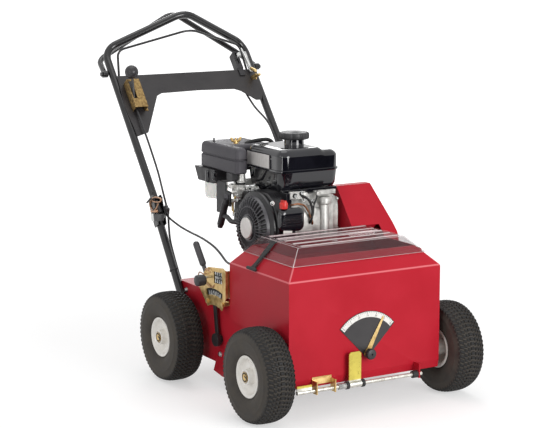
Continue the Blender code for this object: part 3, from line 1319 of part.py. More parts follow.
def make_traction_cable():
    """Drive cable from the lever down the right-hand upright to the frame."""
    rows = ((-0.238, 0.638, 0.0270), (-0.238, 0.530, 0.0280), (-0.236, 0.4648, 0.0244),
            (-0.234, 0.3845, 0.0175))
    points = [raked(*row) for row in rows]
    points += [(-0.230, 0.8531, 0.5651), (-0.226, 0.8337, 0.5149),
               (-0.226, 0.8202, 0.4873), (-0.228, 0.8104, 0.4396), (-0.230, 0.7935, 0.3897),
               (-0.230, 0.7350, 0.2950), (-0.226, 0.7140, 0.2660),
               (-0.224, 0.7020, 0.2580), (-0.224, 0.6908, 0.2580)]
    return make_cable("traction_cable", points)


def make_engage_cable():
    """Cable from the right-hand fold along the machine to the seed box."""
    points = [leaning(-0.2475, 0.222, 0.010), leaning(-0.2460, 0.205, 0.026), (-0.2430, 0.7526, 0.4697),
              (-0.2400, 0.7033, 0.4576), (-0.2430, 0.5967, 0.4493), (-0.2450, 0.4952, 0.4409),
              (-0.2450, 0.4400, 0.4320), (-0.2460, 0.4000, 0.4240), (-0.2500, 0.3720, 0.4140),
              (-0.2530, 0.3545, 0.4060), (-0.2530, BOX_DEPTH + 0.0008, 0.4060)]
    return make_cable("engage_cable", points)


def make_throttle_cable():
    """Cable from the throttle box down the left-hand upright and across to the carburettor."""
    rows = ((0.210, 0.7655, -0.001), (0.210, 0.755, -0.001), (0.210, 0.706, -0.007), (0.224, 0.625, -0.004),
            (0.240, 0.540, 0.018), (0.240, 0.440, 0.0212), (0.236, 0.340, 0.0204), (0.228, 0.250, 0.0184))
    points = [raked(*row) for row in rows]
    points += [(0.190, 0.815, 0.480), (0.100, 0.840, 0.500), (0.010, 0.840, 0.535), (-0.030, 0.780, 0.562),
               (-0.036, 0.700, 0.580), (-0.052, 0.668, 0.594), (-0.078, 0.650, 0.605),
               (-0.080, 0.6400, 0.606), (-0.080, 0.6288, 0.606)]
    return make_cable("throttle_cable", points)


def assemble():
    """Place every piece, with an empty on each joint's axis."""
    datum = pivot("machine", (0, DATUM_Y, 0), None)
    PLACES["machine"] = Vector((0, 0, 0))
    lower = make_lower_handle()
    knob = make_fold_knob()
    carry(datum, mirrored(lower, "lower_handle_left"), mirrored(knob, "fold_knob_left"), lower, knob,
          make_frame(), make_hopper(), make_dial_plate(), make_depth_quadrant(), make_gate_clevis(),
          make_transaxle(), make_belt(), make_belt_guard(), make_crankcase(), make_blower_housing(),
          make_recoil_cover(), make_fuel_tank(), make_air_cleaner(), make_intake_duct(), make_filter_cup(),
          make_carburettor(), make_muffler(), make_switch_box(), make_engage_cable(),
          make_axle("front_axle", FRONT_AXLE_Y, SIDE_PLATE_OUTER + GAP))
    for side, word in ((-1, "right"), (1, "left")):
        wheel = pivot("front_wheel_" + word, (side * TRACK_HALF, FRONT_AXLE_Y, WHEEL_Z), datum)
        carry(wheel, make_tyre("front_tyre_" + word, side * TRACK_HALF, FRONT_AXLE_Y),
              make_rim("front_rim_" + word, side * TRACK_HALF, FRONT_AXLE_Y, side))
    rear = pivot("rear_wheels", (0, REAR_AXLE_Y, WHEEL_Z), datum)
    carry(rear, make_axle("rear_axle", REAR_AXLE_Y, SIDE_PLATE_OUTER + GAP))
    for side, word in ((-1, "right"), (1, "left")):
        carry(rear, make_tyre("rear_tyre_" + word, side * TRACK_HALF, REAR_AXLE_Y),
              make_rim("rear_rim_" + word, side * TRACK_HALF, REAR_AXLE_Y, side))
    x, z = lid_hinge_line()
    lid = pivot("lid_hinge", (x, 0.17, z), datum)
    carry(lid, make_lid())
    x, z = strap_anchor()
    carry(pivot("strap_hinge", (x, STRAP_Y, z), lid), make_latch_strap())
    carry(pivot("gate_shaft", (0, GATE_SHAFT_Y, GATE_SHAFT_Z), datum), make_gate_lever())
    carry(pivot("gate_slide", (0, OUTLET_LOW_Y, OUTLET_Z), datum), make_seed_gate())
    carry(pivot("dial_turn", (0.003, 0, DIAL_Z), datum), make_dial_pointer(), make_pointer_knob())
    lift = pivot("reel_lift", (0, LIFT_Y, LIFT_Z), datum)
    carry(lift, make_depth_lever(), make_reel_frame())
    carry(pivot("reel_turn", (0, REEL_Y, REEL_Z), lift), make_blade_reel(),
          make_pulley("reel_pulley", REEL_Y, REEL_Z, REEL_PULLEY_RADIUS, REEL_SHAFT_RADIUS + GAP))
    carry(pivot("rack_pin", (-0.2766, 0.440, 0.352), datum), make_depth_knob())
    carry(pivot("crank_turn", (0, CRANK_Y, CRANK_Z), datum), make_engine_pulley())
    carry(pivot("agitator_turn", (0, AGITATOR_Y, AGITATOR_Z), datum), make_agitator())
    carry(pivot("starter_pull", (-0.1380, 0.6170, 0.5025), datum), make_recoil_grip())
    carry(pivot("cap_turn", (CAP_X, CAP_Y, TANK_TOP), datum), make_fuel_cap())
    carry(pivot("switch_turn", (SWITCH_X, SWITCH_Y, 0.5604), datum), make_stop_switch())
    handle = pivot("handle_fold", raked(0, FOLD_S, 0), datum)
    carry(handle, make_upper_handle(), make_control_panel(), make_lever_gate(), make_throttle_box(),
          make_bail_spring(), make_traction_cable(), make_throttle_cable())
    carry(pivot("lever_turn", raked(-0.238, LEVER_S, LEVER_N), handle), make_traction_lever())
    carry(pivot("throttle_turn", raked(0.2105, THROTTLE_S, 0.0063), handle), make_throttle_lever())
    carry(pivot("drive_bail_turn", raked(0, BAIL_S, -0.006), handle), make_drive_bail())
    carry(pivot("engage_bail_turn", raked(0, 0.765, -0.004), handle), make_engage_bail())


clear_scene()
assemble()
bpy.context.view_layer.update()
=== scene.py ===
"""Walk-behind seeder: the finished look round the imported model, in the order the machine goes together.

Points are written in the machine's own measure, in millimetres: x across, y back from the front face of
the seed box, z up from the floor. A piece gets its place in the frame, in metres, when its mesh is made.
"""
import json
import math
import bmesh
import bpy
import numpy as np
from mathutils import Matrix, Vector

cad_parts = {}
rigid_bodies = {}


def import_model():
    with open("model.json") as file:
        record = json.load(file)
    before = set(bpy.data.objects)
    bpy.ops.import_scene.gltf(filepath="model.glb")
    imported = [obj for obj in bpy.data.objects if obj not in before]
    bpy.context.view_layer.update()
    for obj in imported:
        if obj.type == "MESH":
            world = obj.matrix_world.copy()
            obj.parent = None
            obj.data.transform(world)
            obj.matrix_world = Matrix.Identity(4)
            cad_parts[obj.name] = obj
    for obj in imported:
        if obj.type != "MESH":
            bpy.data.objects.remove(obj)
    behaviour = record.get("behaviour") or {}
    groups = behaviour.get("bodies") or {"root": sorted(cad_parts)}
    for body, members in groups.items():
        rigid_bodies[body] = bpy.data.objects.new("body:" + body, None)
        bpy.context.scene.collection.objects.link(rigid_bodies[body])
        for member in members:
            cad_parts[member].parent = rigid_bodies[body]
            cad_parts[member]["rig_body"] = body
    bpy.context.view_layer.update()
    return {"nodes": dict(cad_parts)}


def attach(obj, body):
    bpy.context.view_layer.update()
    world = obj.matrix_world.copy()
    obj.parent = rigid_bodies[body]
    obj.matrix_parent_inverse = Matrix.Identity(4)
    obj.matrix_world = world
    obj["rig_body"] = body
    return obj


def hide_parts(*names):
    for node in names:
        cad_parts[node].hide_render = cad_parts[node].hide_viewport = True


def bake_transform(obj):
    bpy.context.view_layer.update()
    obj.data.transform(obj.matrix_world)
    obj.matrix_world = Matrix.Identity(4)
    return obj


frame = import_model()


# Frame, seed box and belt guard. Steel sheet and plate, cut, folded and welded, then powder coated red.
# The coat flows round each cut edge, and the folds of the seed box are bent over an 8 mm nose.

FRONT = -0.577285         # the frame's y, in metres, at the front face of the seed box
SHARP = math.radians(35)  # edges that turn by more than this are rolled


def linear(colour):
    """sRGB hex to linear: c / 12.92 up to 0.04045, ((c + 0.055) / 1.055) ** 2.4 above it."""
    rgb = np.array([int(colour[i:i + 2], 16) for i in (1, 3, 5)]) / 255
    curve = np.where(rgb <= 0.04045, rgb / 12.92, ((rgb + 0.055) / 1.055) ** 2.4)
    return (*(float(c) for c in curve), 1.0)


def add(tree, kind, inputs=None, **settings):
    """Adds one shader node with its settings, and fills its inputs with values or other nodes' outputs."""
    made = tree.nodes.new("ShaderNode" + kind)
    for name, value in settings.items():
        setattr(made, name, value)
    for name, value in (inputs or {}).items():
        if isinstance(value, bpy.types.NodeSocket):
            tree.links.new(value, made.inputs[name])
        else:
            made.inputs[name].default_value = value
    return made


def finish(name, light, dark, patch, rough, grain, relief, gloss=None, stretch=(1, 1, 1)):
    """A surface on Object coordinates: its colour drifts from dark to light in patches of that size, its
    roughness drifts with it, and a finer grain raises it by the relief. Sizes are in millimetres."""
    material = bpy.data.materials.new(name)
    material.use_nodes = True
    tree = material.node_tree
    shader = tree.nodes["Principled BSDF"]
    place = add(tree, "TexCoord").outputs["Object"]
    place = add(tree, "Mapping", {"Vector": place, "Scale": stretch}).outputs["Vector"]
    cloud = add(tree, "TexNoise", {"Vector": place, "Scale": 1000 / patch, "Detail": 3.0}).outputs["Fac"]
    drift = add(tree, "MapRange", {"Value": cloud, "From Min": 0.32, "From Max": 0.68}).outputs["Result"]
    tint = add(tree, "MixRGB", {"Fac": drift, "Color1": linear(dark), "Color2": linear(light)})
    shine = add(tree, "MapRange", {"Value": drift, "To Min": rough[0], "To Max": rough[1]})
    fine = add(tree, "TexNoise", {"Vector": place, "Scale": 1000 / grain, "Detail": 2.0}).outputs["Fac"]
    bump = add(tree, "Bump", {"Height": fine, "Distance": relief / 1000})
    tree.links.new(tint.outputs["Color"], shader.inputs["Base Color"])
    tree.links.new(shine.outputs["Result"], shader.inputs["Roughness"])
    tree.links.new(bump.outputs["Normal"], shader.inputs["Normal"])
    for socket, value in (gloss or {}).items():
        shader.inputs[socket].default_value = value
    return material


# Red polyester powder coat: a deep even red with a soft gloss, and a faint orange peel about 4 mm wide,
# drawn coarser than the real 1 mm so that it shows.
# "fold" is 1 along a bent edge; the pale pink mixed in there is a painted highlight, the line of light a fold
# catches.
red_coat = finish("red_powder_coat", "#B52130", "#AE1D2B", 120, (0.30, 0.38), 4, 0.06,
                  {"Specular IOR Level": 0.12})


def tinted(material, where, colour, share=1.0):
    """Mixes a second colour into a finish where the mesh's named attribute, or a node's output, is 1."""
    tree = material.node_tree
    shader = tree.nodes["Principled BSDF"]
    if isinstance(where, str):
        where = add(tree, "Attribute", attribute_name=where).outputs["Fac"]
    first = shader.inputs["Base Color"].links[0].from_socket
    level = add(tree, "MapRange", {"Value": where, "To Max": share}).outputs["Result"]
    mixed = add(tree, "MixRGB", {"Fac": level, "Color1": first, "Color2": linear(colour)})
    tree.links.new(mixed.outputs["Color"], shader.inputs["Base Color"])


# Painted highlight: a pale pink line along the middle of each marked fold of the red coat.
tinted(red_coat, "fold", "#E8868C", 0.65)


def show(name, mesh, coat, body, stands_for, edge, rolls=2):
    """Links a mesh as a piece: its sharp edges are rolled to the edge radius in millimetres, and it rides
    on its body and stands for its CAD nodes."""
    mesh.materials.clear()
    mesh.materials.append(coat)
    mesh.shade_smooth()
    mesh.set_sharp_from_angle(angle=SHARP)
    piece = bpy.data.objects.new(name, mesh)
    bpy.context.scene.collection.objects.link(piece)
    if edge:
        roll = piece.modifiers.new("rolled_edges", "BEVEL")
        roll.width = edge / 1000
        roll.segments = rolls
        roll.limit_method = "ANGLE"
        roll.angle_limit = SHARP
        roll.harden_normals = True
    if body:
        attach(piece, body)
    if stands_for:
        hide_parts(*stands_for)
    return piece


def rounded_off(node, coat, edge, rolls=2, fold=None):
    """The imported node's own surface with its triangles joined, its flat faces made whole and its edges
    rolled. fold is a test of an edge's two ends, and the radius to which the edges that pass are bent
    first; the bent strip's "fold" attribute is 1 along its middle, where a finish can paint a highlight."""
    solid = bmesh.new()
    solid.from_mesh(frame["nodes"][node].data)
    bmesh.ops.remove_doubles(solid, verts=solid.verts, dist=1e-5)
    bmesh.ops.dissolve_limit(solid, angle_limit=math.radians(1), verts=solid.verts, edges=solid.edges)
    if fold:
        test, radius = fold
        crease = solid.verts.layers.float.new("fold")
        bends = [e for e in solid.edges if test(e.verts[0].co, e.verts[1].co)]
        nose = bmesh.ops.bevel(solid, geom=bends, offset=radius / 1000, segments=4, profile=0.5,
                               affect="EDGES")["faces"]
        nose = {face for face in nose if face.is_valid}
        for vertex in {corner for face in nose for corner in face.verts}:
            vertex[crease] = float(all(face in nose for face in vertex.link_faces))
    mesh = bpy.data.meshes.new(node + "_finish")
    solid.to_mesh(mesh)
    solid.free()
    return show(node + "_finish", mesh, coat, frame["nodes"][node]["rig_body"], [node], edge, rolls)


WALL_TOP, WALL_X, WALL_BACK = 0.4116, 0.2635, FRONT + 0.3435


def box_fold(a, b):
    """True for the outer folds of the seed box: round the top of its walls and up its hips."""
    run = np.abs(a - b)
    low, high = min(a.z, b.z), max(a.z, b.z)
    wide, deep = max(abs(a.x), abs(b.x)) > WALL_X, max(a.y, b.y) > WALL_BACK
    at_top, along_wall = abs(low - WALL_TOP) < 1e-4, min(run[0], run[1]) < 1e-4
    level = at_top and along_wall and high - low < 1e-4 and max(run) > 0.1 and (wide or deep)
    hip = at_top and wide and high > 0.44 and min(run[0], run[1]) > 0.02
    return level or hip


rounded_off("frame", red_coat, 1)
# The seed box's outer folds are bent and marked for the red coat's painted highlight.
rounded_off("hopper", red_coat, 0.6, fold=(box_fold, 3.4))
rounded_off("belt_guard", red_coat, 0.7)


# Bolts and washers of the frame. Bright zinc plated steel with hexagon heads 11 mm across flats, driven into
# the side plates beside the axle collars and the lift shaft.

# Zinc plate on steel: bright, a little blue and cloudy, its polish broken by fine tumbling marks.
zinc = finish("bright_zinc_plate", "#D9D9D6", "#B4B6B6", 12, (0.22, 0.40), 1.5, 0.03, {"Metallic": 0.95})
# Yellow chromate on zinc: warm straw gold that drifts to olive and rose, satin.
gold_zinc = finish("yellow_zinc_plate", "#DFC48A", "#B9975C", 20, (0.28, 0.46), 1.5, 0.03, {"Metallic": 0.85})


ACROSS, LEFT, BACK, FORE, UP = (1, 0, 0), (-1, 0, 0), (0, 1, 0), (0, -1, 0), (0, 0, 1)


def skin(grid, closed=False):
    """Points and faces of rings of points: (r, c) joins (r, c+1), (r+1, c+1) and (r+1, c). Each ring
    closes on itself; closed joins the last ring to the first, otherwise each end gets one face."""
    rows, columns = grid.shape[:2]
    r = np.arange(rows if closed else rows - 1)[:, None]
    c = np.arange(columns)[None, :]
    after, above = (c + 1) % columns, (r + 1) % rows
    quads = np.stack([r * columns + c, r * columns + after, above * columns + after, above * columns + c], -1)
    faces = quads.reshape(-1, 4).tolist()
    if not closed:
        faces += [list(range(columns)), list(range((rows - 1) * columns, rows * columns))]
    return grid.reshape(-1, 3), faces


def turned(profile, centre, axis=ACROSS, sides=32, closed=False, wave=0.0):
    """Rings turned round an axis: centre + along * axis + (radius + wave) * (across cos t + over sin t),
    for each (along, radius) of the profile and t from 0 to 2 pi."""
    along, radius = np.array(profile, float).T
    axis = np.array(axis, float) / np.linalg.norm(axis)
    across = np.cross(axis, UP if abs(axis[2]) < 0.9 else (0, 1, 0))
    across /= np.linalg.norm(across)
    t = np.arange(sides) * 2 * math.pi / sides
    way = np.cos(t)[:, None] * across + np.sin(t)[:, None] * np.cross(axis, across)
    reach = radius[:, None] + wave * np.ones(sides)
    return skin(np.array(centre) + along[:, None, None] * axis + reach[:, :, None] * way, closed)


def slab(outline, axis, low, high):
    """A flat outline, in the two measures that are not the axis, given its thickness along the axis."""
    grid = np.empty((2, len(outline), 3))
    grid[:, :, [i for i in range(3) if i != axis]] = np.array(outline, float)
    grid[:, :, axis] = [[low], [high]]
    return skin(grid)


def placed(points):
    """The machine's millimetres as the frame's metres: points / 1000, moved back to FRONT along y."""
    return np.asarray(points, float) / 1000 + (0, FRONT, 0)


def make(name, shells, coat, body=None, stands_for=(), edge=0.0):
    """Joins shells of points and faces into one mesh, places it in the frame, and turns its faces
    outwards. Without a body it rides on the body of the first node it stands for."""
    starts = np.cumsum([0] + [len(points) for points, _ in shells])
    faces = [[i + int(start) for i in face] for (_, sides), start in zip(shells, starts) for face in sides]
    mesh = bpy.data.meshes.new(name)
    mesh.from_pydata(placed(np.concatenate([points for points, _ in shells])), [], faces)
    shell = bmesh.new()
    shell.from_mesh(mesh)
    bmesh.ops.recalc_face_normals(shell, faces=shell.faces)
    shell.to_mesh(mesh)
    shell.free()
    if body is None and stands_for:
        body = frame["nodes"][stands_for[0]]["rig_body"]
    return show(name, mesh, coat, body, stands_for, edge)


def dress(node, shells, coat, edge=0.0):
    """A piece made anew that stands for one CAD node and rides where that node rides."""
    return make(node + "_finish", shells, coat, None, [node], edge)


def hex_bolt(centre, axis, flats, tall, washer=0):
    """Shells of a hexagon head with its chamfered top and, under it, a round washer."""
    head = [(0, flats * 0.577), (tall * 0.8, flats * 0.577), (tall, flats * 0.5), (tall, 0.6)]
    shells = [turned(head, centre, axis, 6)]
    if washer:
        shells.append(turned([(-1.2, washer), (0.2, washer)], centre, axis, 24))
    return shells


plate_bolts = []
for bolt_y, bolt_z in ((50, 205), (150, 205), (240, 130), (335, 262), (420, 110), (640, 270), (560, 120)):
    for side in (-1, 1):
        plate_bolts += hex_bolt((side * 256.2, bolt_y, bolt_z), (side, 0, 0), 11, 5, 9)
make("frame_bolts", plate_bolts, zinc, "base")


# Axles. Ground steel bar with pressed spacers and washers, plated yellow. The front one stands still in its
# collars, and the rear one turns with its pair of wheels.

def oval(a, b, sides):
    """Ellipse (a cos t, b sin t) as a profile to carry along a path."""
    t = np.arange(sides) * 2 * math.pi / sides
    return np.stack([a * np.cos(t), b * np.sin(t)], -1)


AXLE_STEPS = [(255.3, 9.5), (255.3, 16), (286.2, 16), (286.2, 9.5), (376.8, 9.5), (376.8, 15), (378.3, 15),
              (378.3, 9.5), (378.6, 9.5), (379.2, 8.8)]
WHEEL_Z, AXLES = 140, (("front", 56), ("rear", 600))
for end, axle_y in AXLES:
    steps = [(-x, r) for x, r in AXLE_STEPS[::-1]] + AXLE_STEPS
    dress(end + "_axle", [turned(steps, (0, axle_y, WHEEL_Z))], gold_zinc, 0.4)


# Wheels. Turf tyres of black rubber, moulded with rows of small slanted blocks, on two-piece pressed
# steel rims enamelled cream; the hub is welded in, and beside the axle end a dark ring and hook are painted
# shade, for the gap and recess of the hub in shadow.

# Moulded tyre rubber: near black on the blocks, brown grey and dusty on the side walls and in the
# grooves. "worn" is 1 on top of a block and 0 in a groove.
tyre_rubber = finish("moulded_tyre_rubber", "#4A453F", "#35312D", 30, (0.60, 0.80), 1.2, 0.15,
                     {"Specular IOR Level": 0.35})
tinted(tyre_rubber, "worn", "#151516")

# Cream stoving enamel: warm white, smooth and glossy, pooled a little darker in the dish.
enamel = finish("cream_enamel", "#F4F1EC", "#E9E5DD", 40, (0.22, 0.32), 6, 0.04,
                {"Coat Weight": 0.3, "Coat Roughness": 0.1})

SIDES = (("right", -1), ("left", 1))
TYRE_STEPS, LUGS = 480, 60
ROW_PITCH, LUG_TALL, SHOULDER, TREAD_FROM = 11.5, 4.5, 30.5, 121.5
ROW_SHARE, LUG_SHARE, SLANT = 0.78, 0.60, 0.028
bead_side = [(36, 52.8), (36, 62.6), (38.5, 65.5), (42.5, 70), (45.5, 77), (47.4, 86), (47.9, 95), (47.6, 104),
             (48, 107.5), (48, 109.5), (47.2, 111.5), (46.2, 117), (45.2, 121.5)]
tread_at = np.linspace(-44.5, 44.5, 65)


def pulse(part, width, ramp):
    """1 in the middle share of each cycle, 0 outside it, with straight ramps: clip of
    (width / 2 - |part - 0.5|) / ramp + 0.5."""
    return np.clip((width / 2 - np.abs(part - 0.5)) / ramp + 0.5, 0, 1)


def turf_tyre(centre):
    """Section radius = 140 less a crown that drops 6.5 mm at the shoulder; on it stand blocks, in seven
    rows that slant away from the centre seam, each row half a block behind the next."""
    crown = WHEEL_Z - 6.5 * (np.abs(tread_at) / 40) ** 3
    side = np.array(bead_side)
    across = np.concatenate([-side[:, 0], tread_at, side[::-1, 0]])
    radius = np.concatenate([side[:, 1], crown, side[::-1, 1]])
    t = np.arange(TYRE_STEPS) * 2 * math.pi / TYRE_STEPS
    off_seam = np.abs(across)
    row = (off_seam + 4) / ROW_PITCH
    turn = LUGS * t[:, None] / (2 * math.pi) + 0.5 * np.floor(row) + SLANT * off_seam * (row >= 1)
    rows = np.where(off_seam > SHOULDER, 1, pulse(row % 1, ROW_SHARE, 0.10))
    on_tread = np.clip((radius - TREAD_FROM) / 6, 0, 1)
    lug = pulse(turn % 1, LUG_SHARE, 0.14) * rows * on_tread
    reach = radius - LUG_TALL * on_tread * (1 - lug)
    grid = np.stack([across + np.zeros_like(reach), reach * np.cos(t)[:, None], reach * np.sin(t)[:, None]], -1)
    return skin(grid + centre, closed=True), (lug * on_tread).ravel()


def mark(piece, name, values):
    """Gives each point of a piece's mesh its value of a named attribute."""
    piece.data.attributes.new(name, "FLOAT", "POINT").data.foreach_set("value", values.astype(np.float32))


def pressed_rim(centre, out):
    """The rim's section turned round the axle: curled flanges, the tyre's seat, a dished disc and hub.
    out is -1 or +1, the side that faces away from the machine."""
    section = [(36.6, 60.8), (37.8, 62), (39.2, 61.8), (40, 60.2), (39.6, 57.5), (37.8, 54), (34.5, 51.5),
               (30, 48.8), (26.4, 44.8), (24.3, 39.5), (23.6, 33.5), (24, 27.5), (25.8, 24), (29, 23), (44, 23),
               (45, 22.2), (45, 18), (41, 17.6), (41, 9.9), (-45, 9.9), (-45, 22.5), (-44, 23), (17, 23),
               (18.6, 26.2), (19, 33), (20, 40), (22.4, 45.5), (18, 47.8), (-36, 49.5), (-39.2, 54.5),
               (-40, 60.2), (-39.2, 61.8), (-37.8, 62), (-36.6, 60.8), (-36.5, 56), (-35, 52.5), (35, 52.5),
               (36.5, 56)]
    return turned([(out * a, r) for a, r in section], centre, sides=72, closed=True)


for end, wheel_y in AXLES:
    for word, side in SIDES:
        hub = np.array((side * 331.5, wheel_y, WHEEL_Z))
        tyre_shell, on_block = turf_tyre(hub)
        tyre = make(f"{end}_turf_tyre_{word}", [tyre_shell], tyre_rubber, None, [f"{end}_tyre_{word}"])
        mark(tyre, "worn", on_block)
        make(f"{end}_pressed_rim_{word}", [pressed_rim(hub, side)], enamel, None, [f"{end}_rim_{word}"])


# Painted shade: a dull brown black ring round each axle end and a thin dark hook beside it, for the gap and
# recess of the hub in shadow.
hub_shade_finish = finish("painted_hub_shade", "#34312F", "#22201F", 10, (0.40, 0.55), 1, 0.04, {"Metallic": 0.6})
shaded_gap_ring = [(378.4, 10.2), (379, 10.2), (379, 13), (378.7, 13.8), (378.4, 13.8)]
for end, wheel_y in AXLES:
    for word, side in SIDES:
        shaded_hook = np.array([(-13.5, 1), (-2, 6), (0, 2), (-11.5, -3.5)]) + (wheel_y, WHEEL_Z)
        ring = turned(shaded_gap_ring, (0, wheel_y, WHEEL_Z), (side, 0, 0), closed=True)
        make(f"{end}_hub_shade_{word}", [
            ring,
            slab(shaded_hook, 0, *sorted((side * 379.3, side * 379.45))),
        ], hub_shade_finish, "rear_wheels" if end == "rear" else "front_wheel_" + word)


# Drive box, lift shaft, slicing reel, belt and pulleys. Cast aluminium, painted and ground steel, and
# reinforced rubber; all of it sits under the deck or behind the belt guard.

# Die cast aluminium: light grey, matt and faintly pebbled, darker where the die released it.
cast = finish("die_cast_aluminium", "#C6C5C1", "#9C9B98", 18, (0.38, 0.58), 1.8, 0.18, {"Metallic": 0.75})
# Satin black powder coat: charcoal with a soft sheen and fine texture.
black_coat = finish("satin_black_powder_coat", "#2A2728", "#201D1F", 60, (0.38, 0.50), 1.6, 0.08)
# Hardened blade steel: bare, ground across, straw and grey.
blade_steel = finish("ground_blade_steel", "#A9A6A2", "#6F6C69", 10, (0.25, 0.45), 0.6, 0.05, {"Metallic": 1.0},
                     (1, 1, 6))
# Cast or moulded soft rubber: black with a grey bloom.
soft_rubber = finish("moulded_soft_rubber", "#2C2C2C", "#1E1E1F", 20, (0.55, 0.75), 1, 0.1,
                     {"Specular IOR Level": 0.4})
rounded_off("transaxle", cast, 3)
rounded_off("reel_frame", black_coat, 0.8)
rounded_off("blade_reel", blade_steel, 0.6)
rounded_off("engine_pulley", cast, 0.4)
rounded_off("reel_pulley", cast, 0.4)
# The belt is taken off its body, its points fixed where they stand in the frame.
belt = rounded_off("drive_belt", soft_rubber, 0.6)
belt.parent = None
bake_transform(belt)
rounded_off("agitator", zinc, 0.4)
rounded_off("seed_gate", zinc, 0.4)


# Lid of the seed box. One vacuum-formed sheet of smoked clear polycarbonate, ribbed along its top so that
# it stays flat; its ridges and the rolled ribs are painted with pale lines of highlight.

# Smoked polycarbonate: mostly clear, warm grey and glossy. Painted highlights, paler and more opaque, go
# along its marked edges ("fold" is 1 there) and in two fine lines on the shoulders of each rib.
smoked = finish("smoked_polycarbonate", "#5E4A4F", "#4E3D42", 50, (0.06, 0.12), 20, 0.1,
                {"Specular IOR Level": 0.7, "Coat Weight": 0.3, "Coat Roughness": 0.05})
RIB_PITCH, FIRST_RIB, LINE_OFF = 0.0447, -0.4886, 0.0030
smoked_tree = smoked.node_tree
smoked_at = add(smoked_tree, "SeparateXYZ", {"Vector": add(smoked_tree, "TexCoord").outputs["Object"]}).outputs
from_rib = add(smoked_tree, "Math", {0: smoked_at["Y"], 1: -FIRST_RIB}, operation="ADD").outputs["Value"]
from_rib = add(smoked_tree, "Math", {0: from_rib, 1: RIB_PITCH / 2}, operation="PINGPONG").outputs["Value"]
from_line = add(smoked_tree, "Math", {0: from_rib, 1: -LINE_OFF}, operation="ADD").outputs["Value"]
from_line = add(smoked_tree, "Math", {0: from_line}, operation="ABSOLUTE").outputs["Value"]
line = add(smoked_tree, "MapRange", {"Value": from_line, "From Min": 0.0005, "From Max": 0.0011, "To Min": 1.0,
                                     "To Max": 0.0}).outputs["Result"]
raised = add(smoked_tree, "MapRange", {"Value": smoked_at["Z"], "From Min": 0.4934, "From Max": 0.4940})
line = add(smoked_tree, "Math", {0: line, 1: raised.outputs["Result"]}, operation="MULTIPLY").outputs["Value"]
lid_edge_highlight = add(smoked_tree, "Attribute", attribute_name="fold").outputs["Fac"]
pale = add(smoked_tree, "Math", {0: lid_edge_highlight, 1: line}, operation="MAXIMUM").outputs["Value"]
# Painted highlight: the pale colour, and the higher opacity below, on the lid's edges and rib lines.
tinted(smoked, pale, "#EBD8D8")
covers = add(smoked_tree, "MapRange", {"Value": pale, "To Min": 0.20, "To Max": 0.85})
smoked_tree.links.new(covers.outputs["Result"], smoked_tree.nodes["Principled BSDF"].inputs["Alpha"])


def lid_fold(a, b):
    """True for the lid's hips and for the long edges of its base and of its top."""
    run = np.abs(a - b)
    level = run[2] < 1e-4 and (abs(a.z - 0.4475) < 0.0003 or abs(a.z - 0.4930) < 0.0003)
    return min(run) > 0.01 or (level and max(run) > 0.15)


rounded_off("hopper_lid", smoked, 0.5, fold=(lid_fold, 1))


# Latch strap. Black natural rubber, moulded in one piece: a hinge bead, a ribbed strap that narrows to its
# neck, and a T grip that hooks over the keeper.

def carried(path, profile, up=UP, swell=1.0):
    """A profile carried along a path: path + side * a + top * b for each (a, b) of the profile, where
    side is up x tangent and top is tangent x side. swell scales the profile at each step."""
    path = np.asarray(path, float)
    tangent = np.gradient(path, axis=0)
    side = np.cross(up, tangent)
    side /= np.linalg.norm(side, axis=1)[:, None]
    top = np.cross(tangent / np.linalg.norm(tangent, axis=1)[:, None], side)
    a, b = np.asarray(profile, float).T
    scale = (np.ones(len(path)) * swell)[:, None, None]
    return skin(path[:, None] + scale * (side[:, None] * a[:, None] + top[:, None] * b[:, None]))


def capsule(start, end, radius, sides=20, steps=6):
    """A round bar with domed ends: radius * sin u at radius * (1 - cos u) from each end."""
    start, end = np.array(start, float), np.array(end, float)
    length = np.linalg.norm(end - start)
    u = np.linspace(0.12, math.pi / 2, steps)
    dome = np.stack([radius * (1 - np.cos(u)), radius * np.sin(u)], -1)
    profile = np.concatenate([dome, np.stack([length - dome[::-1, 0], dome[::-1, 1]], -1)])
    return turned(profile, start, end - start, sides)


SLOPE = math.sqrt(0.5)


def down_strap(along, out, y=203):
    """A point by the strap: along it down the slope, and out from it."""
    return (-193.3 - (along + out) * SLOPE, y, 491.5 + (out - along) * SLOPE)


STRAP_LONG, RIBBED, RIB_TALL = 104, 0.42, 0.6
strap_at = np.linspace(0, 1, 60)[:, None]
strap_half = np.interp(strap_at, [0, 0.06, RIBBED, 0.55, 0.80, 0.92, 1], [11, 11, 11, 7.5, 6.8, 9, 12])
strap_thick = np.interp(strap_at, [0, RIBBED, 0.6, 1], [2.4, 2.6, 3.4, 3.6])
strap_thick += RIB_TALL * (np.sin(strap_at * 60) > 0.2) * (strap_at < RIBBED)
width, rise = np.array([(1, -0.5), (1, 0.4), (0.86, 1), (-0.86, 1), (-1, 0.4), (-1, -0.5)]).T
strap_x, strap_y, strap_z = down_strap(strap_at * STRAP_LONG, rise * strap_thick)
rings = np.stack([strap_x, strap_y + width * strap_half, strap_z], -1)
dress("latch_strap", [
    skin(rings),
    capsule(down_strap(105.5, 2.5, 176), down_strap(105.5, 2.5, 230), 5.2),
    capsule(down_strap(0, 0, 188), down_strap(0, 0, 218), 2.8),
    slab([down_strap(a, o)[::2] for a, o in ((101, -4.2), (104, -4.2), (107, 1), (101, 1))], 1, 192, 214),
], soft_rubber, 0.3)


# Dial of the seed rate. A black painted steel sector with a white printed scale, a plated pointer, and a
# ribbed knob that clamps the pointer through a slot.

# Screen printed white ink: flat and slightly chalky.
white_ink = finish("printed_white_ink", "#ECEAE6", "#DAD8D2", 10, (0.45, 0.60), 1, 0.02)
